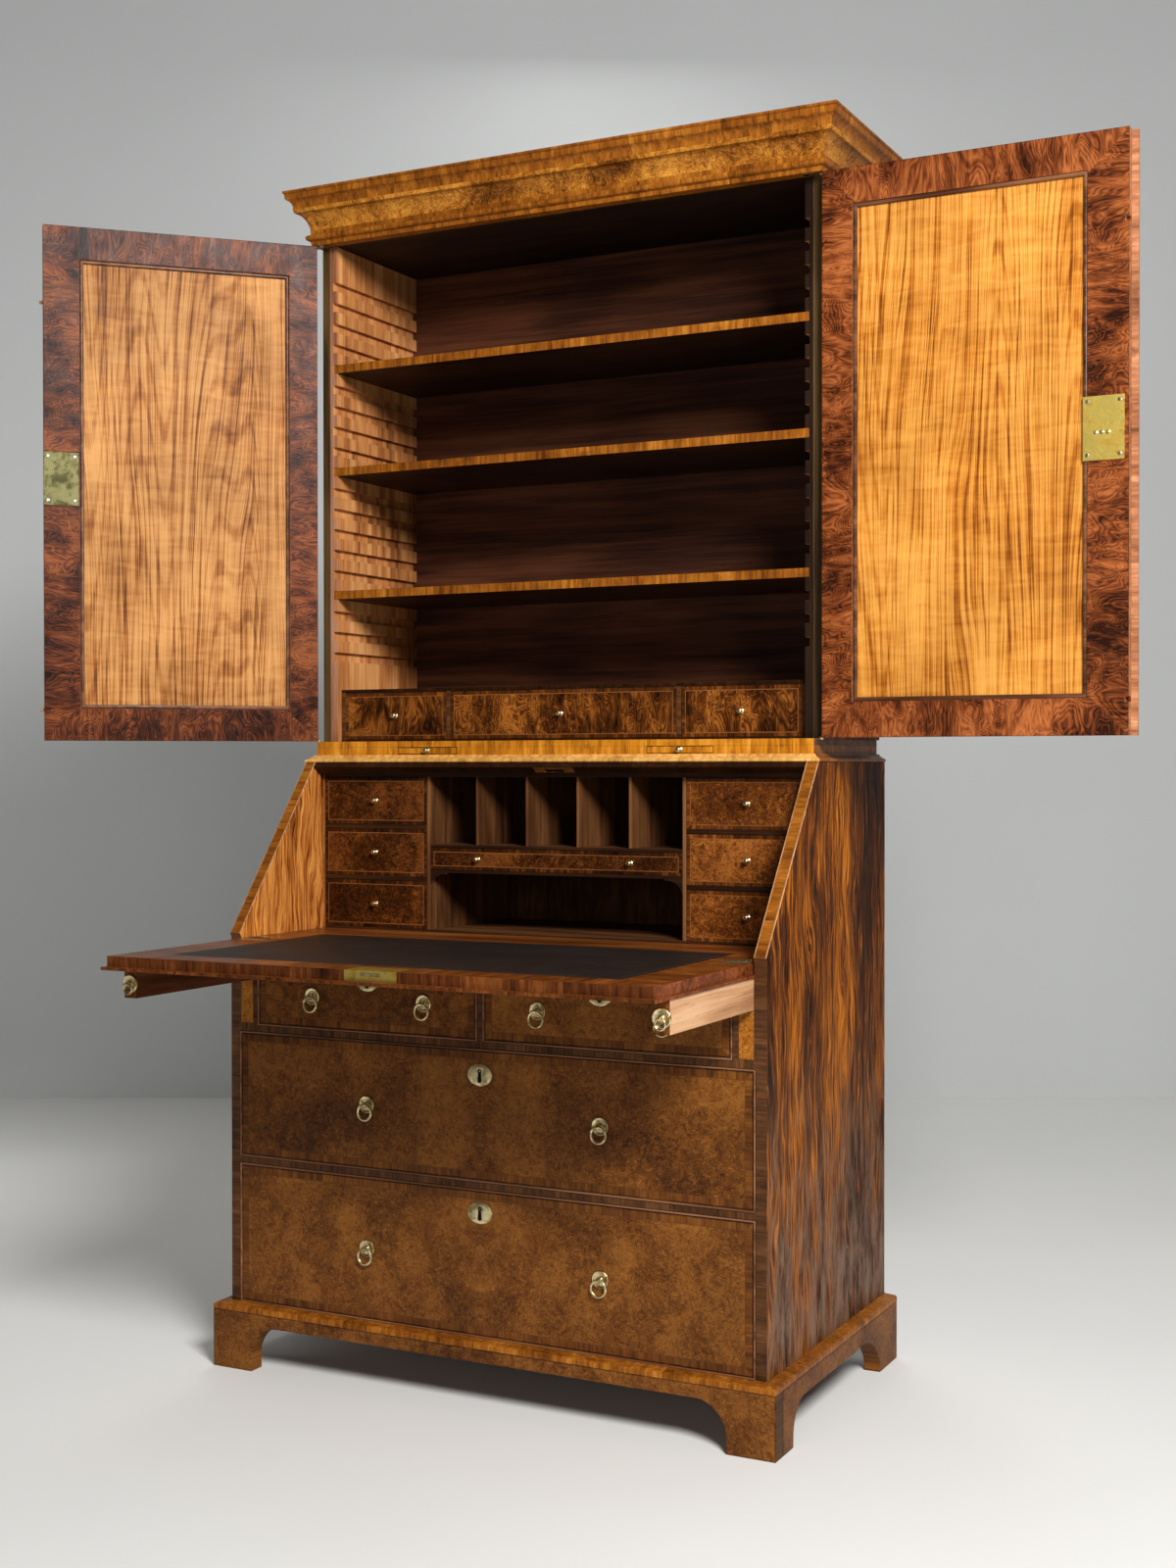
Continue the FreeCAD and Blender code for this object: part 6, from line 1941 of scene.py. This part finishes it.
@dataclass
class Door:
    """One glazed-size door with its framed panel and brasses.

    Attributes:
        shop: Workshop that makes the pieces.
        brass: Maker of the brasses.
        side: Its side, left or right.
        pivot: Point of its pivots across and deep.
        across: Direction from the pivot to the free edge as it stands.
        inner: Direction that its inner face looks in as it stands.
        gap: Distance from the pivot to the frame.
        width: Width of the door.
        hinge_stile: Width of the stile at the pivots.
        meeting_stile: Width of the stile at the free edge.
        rail: Height of a rail.
        bead: Width of the moulding round the panel.
        bead_height: Height of that moulding.
    """

    shop: Workshop
    brass: Brasswork
    side: str
    pivot: tuple[float, float]
    across: Triple
    inner: Triple
    gap: float = 4 * MM
    width: float = 492.25 * MM
    hinge_stile: float = 52 * MM
    meeting_stile: float = 63 * MM
    rail: float = 58 * MM
    bead: float = 7 * MM
    bead_height: float = 5.2 * MM

    def build(self) -> None:
        """Makes the door's pieces."""
        frame_node = self.side + "_door_frame"
        self.low, self.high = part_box(frame_node)
        corner = self.spot(self.gap, 0.0, self.low.z)
        face = Face(tuple(corner), self.across, UPRIGHT, self.width, self.high.z - self.low.z)
        # The left door's frame takes a darker copy of the russet wood as painted shade.
        stiles = LEFT_RUSSET_SHADED if self.side == "left" else RUSSET
        frame_finish = VeneerFinish(
            frame_node + "_veneer", face, Figure.SWIRL, stiles, 0.8, stiles, 0.3, rim=1.5 * MM,
            band_figure=Figure.SWIRL, coat=0.0 if self.side == "left" else 0.035,
        )
        inner = Vector(self.inner)
        self.shop.dressed(
            frame_node, [frame_finish, PALE_EDGE],
            lambda number, low, high, middle, normal: int(number >= 4 or abs(normal.dot(inner)) <= 0.5),
            "walnut_veneer", 1.0 * MM,
        )
        # The left door's panel takes a retoned copy of the gold wood: painted haze and shade.
        wood = LEFT_GOLD_PAINTED_LIGHT if self.side == "left" else GOLD
        panel = VeneerFinish(
            self.side + "_door_panel_veneer", face, Figure.RIPPLE, wood, rough=0.46, coat=0.0
        )
        self.shop.dressed(self.side + "_door_panel", [panel], all_alike, "burr_walnut", 0.4 * MM)
        self.lay_mouldings()
        self.dress_brasses()

    def spot(self, along: float, out: float, height: float) -> Vector:
        """Gives a point of the door as it stands.

        Args:
            along: Distance from the pivot toward the free edge.
            out: Distance from the pivot toward the inner side.
            height: Height above the floor.

        Returns:
            The point.
        """
        base = Vector((*self.pivot, 0.0)) + Vector(self.across) * along
        return base + Vector(self.inner) * out + Vector((0, 0, height))

    def reach(self, node: str) -> tuple[float, float]:
        """Gives how far a node reaches along the inner direction, from the pivot."""
        base = Vector((*self.pivot, 0.0))
        shares = [(vertex.co - base).dot(Vector(self.inner)) for vertex in frame["nodes"][node].data.vertices]
        return min(shares), max(shares)

    def lay_mouldings(self) -> None:
        """Lays the moulding round the panel on both faces."""
        outer_face, inner_face = self.reach(self.side + "_door_panel")
        start = self.gap + self.hinge_stile
        end = self.gap + self.width - self.meeting_stile
        height = self.high.z - self.low.z - 2 * self.rail
        middle_z = (self.low.z + self.high.z) / 2
        for name, out, sign in (("inner", inner_face, 1.0), ("outer", outer_face, -1.0)):
            mesh = bmesh.new()
            normal = Vector(self.inner) * sign
            matrix = Turnery.facing(self.spot((start + end) / 2, out, middle_z), normal)
            Turnery().ring_bead(mesh, matrix, end - start, height, self.bead, self.bead_height)
            body = self.shop.body(self.side + "_door_frame")
            self.shop.trim(mesh, f"{self.side}_door_{name}_moulding", body, BEAD_WOOD, "crossgrain_walnut")

    def dress_brasses(self) -> None:
        """Dresses the lock or keep and the pivots."""
        node = self.side + "_door_brasses"
        # The left door's keep takes the darkened brass as painted shade.
        plate = BRASS_SHEET if self.side == "right" else KEEP_SHEET_SHADED
        self.shop.dressed(node, [plate, BRASS], by_solid, "aged_brass", 0.3 * MM)
        low, high = self.plate_box(node)
        body = self.shop.body(node)
        face = self.reach(node)[1]
        spots = [
            (self.spot(along, face, height), self.inner, 0.4 + 3 * along + 7 * height)
            for along in (low.x + 7 * MM, high.x - 7 * MM)
            for height in (low.y + 8 * MM, high.y - 8 * MM)
        ]
        self.brass.screws(body, node + "_screws", spots, 3.2 * MM)
        if self.side == "right":
            self.lay_rivets(body, (low + high) / 2, face)
            self.shop.dressed("right_door_bolt", [BRASS], all_alike, "aged_brass", 0.3 * MM)

    def plate_box(self, node: str) -> tuple[Vector, Vector]:
        """Gives the lock's or keep's plate as distances from the pivot and heights.

        Args:
            node: Name of the brasses' node.

        Returns:
            Its low and high corners, along and up.
        """
        base = Vector((*self.pivot, 0.0))
        top = self.reach(node)[1]
        return box_of(
            ((corner - base).dot(Vector(self.across)), corner.z)
            for corner in self.shop.corners(node, 0)
            if (corner - base).dot(Vector(self.inner)) > top - 0.4 * MM
        )

    def lay_rivets(self, body: str, middle: Vector, face: float) -> None:
        """Lays the three raised rivets of the lock.

        Args:
            body: Body that they ride on.
            middle: Middle of the plate, along and up.
            face: Distance of its face from the pivot.
        """
        mesh = bmesh.new()
        outline = ((0, 0), (3.3, 0), (3.3, 0.5), (2.4, 0.9), (1.5, 1.0), (1.3, 2.0), (0.8, 2.4), (0, 2.5))
        profile = [(radius * MM, height * MM) for radius, height in outline]
        for step in (-1, 0, 1):
            point = self.spot(middle.x + (step * 9.5 - 2) * MM, face, middle.y - 7 * MM)
            Turnery.turned(mesh, profile, Turnery.facing(point, self.inner), 20)
        self.shop.trim(mesh, "right_door_lock_rivets", body, BRASS, "aged_brass")


@dataclass(frozen=True)
class Lamp:
    """One soft round lamp.

    Attributes:
        name: Its name.
        place: Its place.
        aim: Point that it faces.
        width: Its width.
        power: Its power in watts.
    """

    name: str
    place: Triple
    aim: Triple
    width: float
    power: float

    def hang(self) -> None:
        """Hangs it in the scene."""
        light = bpy.data.lights.new(self.name, "AREA")
        light.shape = "DISK"
        light.size = self.width
        light.energy = self.power
        lamp = bpy.data.objects.new(self.name, light)
        lamp.location = self.place
        lamp.rotation_euler = (Vector(self.aim) - Vector(self.place)).to_track_quat("-Z", "Y").to_euler()
        bpy.context.scene.collection.objects.link(lamp)


@dataclass
class Studio:
    """Floor, wall, lamps and camera.

    Attributes:
        finishes: Shared finishes.
        floor_size: Width of the floor.
        wall_distance: Distance from the camera to the wall.
        back_lamp_depth: Distance from the camera to the lamp behind the part.
        back_lamp_height: Height of that lamp.
        ambient: Strength of the room's own light.
        lens: Focal length for the picture's long side.
        place: Place of the camera.
        yaw: Turn of the camera, in degrees.
        pitch: Its tilt, in degrees.
        roll: Its roll, in degrees.
    """

    finishes: Finishes
    floor_size: float = 18.0
    wall_distance: float = 6.1
    back_lamp_depth: float = 5.4
    back_lamp_height: float = 3.75
    ambient: float = 0.045
    lens: float = 44.37
    place: Triple = (1.5977, -3.0148, 1.0535)
    yaw: float = 27.08
    pitch: float = -0.58
    roll: float = -0.05

    def build(self) -> None:
        """Makes the whole studio."""
        self.lay_floor()
        self.hang_lamps()
        self.set_camera()

    def ahead(self) -> Vector:
        """Gives the level direction that the camera looks in."""
        turn = math.radians(self.yaw)
        return Vector((-math.sin(turn), math.cos(turn), 0.0))

    def sheet(
        self, name: str, matrix: Matrix, size: float, colour: Colour, one_sided: bool = False
    ) -> None:
        """Makes one flat surface of the room.

        Args:
            name: Its name.
            matrix: Its place.
            size: Its width.
            colour: Its colour.
            one_sided: Whether it is clear from behind.
        """
        mesh = bmesh.new()
        bmesh.ops.create_grid(mesh, x_segments=1, y_segments=1, size=size / 2, matrix=matrix)
        data = bpy.data.meshes.new(name)
        mesh.to_mesh(data)
        mesh.free()
        data.materials.append(self.finishes.get(StudioFinish(name, colour, one_sided)))
        sheet = bpy.data.objects.new(name, data)
        bpy.context.scene.collection.objects.link(sheet)

    def lay_floor(self) -> None:
        """Lays the floor and stands the wall behind the part."""
        self.sheet("studio_floor", Matrix(), self.floor_size, tint(247, 246, 242))
        foot = Vector((self.place[0], self.place[1], 0.0)) + self.ahead() * self.wall_distance
        square = Matrix.Rotation(math.radians(self.yaw), 4, "Z") @ Matrix.Rotation(math.radians(90), 4, "X")
        wall = Matrix.Translation(foot) @ square
        self.sheet("studio_wall", wall, self.floor_size, tint(212, 214, 213), True)

    def hang_lamps(self) -> None:
        """Hangs the lamps and sets the room's own light."""
        behind = Vector(self.place) + self.ahead() * self.back_lamp_depth
        for lamp in (
            Lamp("key_lamp", (2.6, -2.6, 3.0), (0.0, 0.0, 0.9), 1.2, 215.0),
            Lamp("fill_lamp", (1.4, -4.4, 1.3), (0.0, 0.0, 1.0), 1.6, 13.0),
            Lamp("back_lamp", (behind.x, behind.y, self.back_lamp_height), (0.0, 0.0, 0.8), 1.2, 14.0),
            Lamp("wall_lamp", (-3.07, -0.91, 1.0), (-2.43, 1.78, 0.4), 1.2, 9.0),
        ):
            lamp.hang()
        world = bpy.data.worlds.new("studio_world")
        world.use_nodes = True
        backing = world.node_tree.nodes["Background"]
        backing.inputs["Color"].default_value = (1.0, 1.0, 1.0, 1.0)
        backing.inputs["Strength"].default_value = self.ambient
        bpy.context.scene.world = world

    def set_camera(self) -> None:
        """Sets the camera that was fitted to the photograph."""
        yaw, pitch, roll = (math.radians(angle) for angle in (self.yaw, self.pitch, self.roll))
        forward = Vector((-math.sin(yaw) * math.cos(pitch), math.cos(yaw) * math.cos(pitch), math.sin(pitch)))
        right = Vector((math.cos(yaw), math.sin(yaw), 0.0))
        up = right.cross(forward)
        across = right * math.cos(roll) + up * math.sin(roll)
        upward = up * math.cos(roll) - right * math.sin(roll)
        lens = bpy.data.cameras.new("photo_camera")
        lens.sensor_fit = "VERTICAL"
        lens.sensor_height = 36.0
        lens.lens = self.lens
        camera = bpy.data.objects.new("photo_camera", lens)
        turn = Matrix((across, upward, -forward)).transposed().to_4x4()
        camera.matrix_world = Matrix.Translation(self.place) @ turn
        bpy.context.scene.collection.objects.link(camera)
        bpy.context.scene.camera = camera


def main() -> None:
    """Builds every sub-assembly in order and the studio round them."""
    logging.basicConfig(level=logging.INFO, format="%(message)s")
    bpy.context.scene.view_settings.view_transform = "Standard"
    finishes = Finishes()
    shop = Workshop(finishes)
    brass = Brasswork(shop)
    half = math.sqrt(0.5)
    Carcase(shop).build()
    Drawers(shop, brass).build()
    Desk(shop, brass).build()
    Bookcase(shop, brass).build()
    Door(shop, brass, "left", (-PIVOT_X, PIVOT_Y), (-half, -half, 0.0), (half, -half, 0.0)).build()
    Door(shop, brass, "right", (PIVOT_X, PIVOT_Y), ACROSS, FORWARD).build()
    Studio(finishes).build()
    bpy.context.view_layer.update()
    log.info("%d pieces in all", shop.count)


if __name__ == "__main__":
    main()
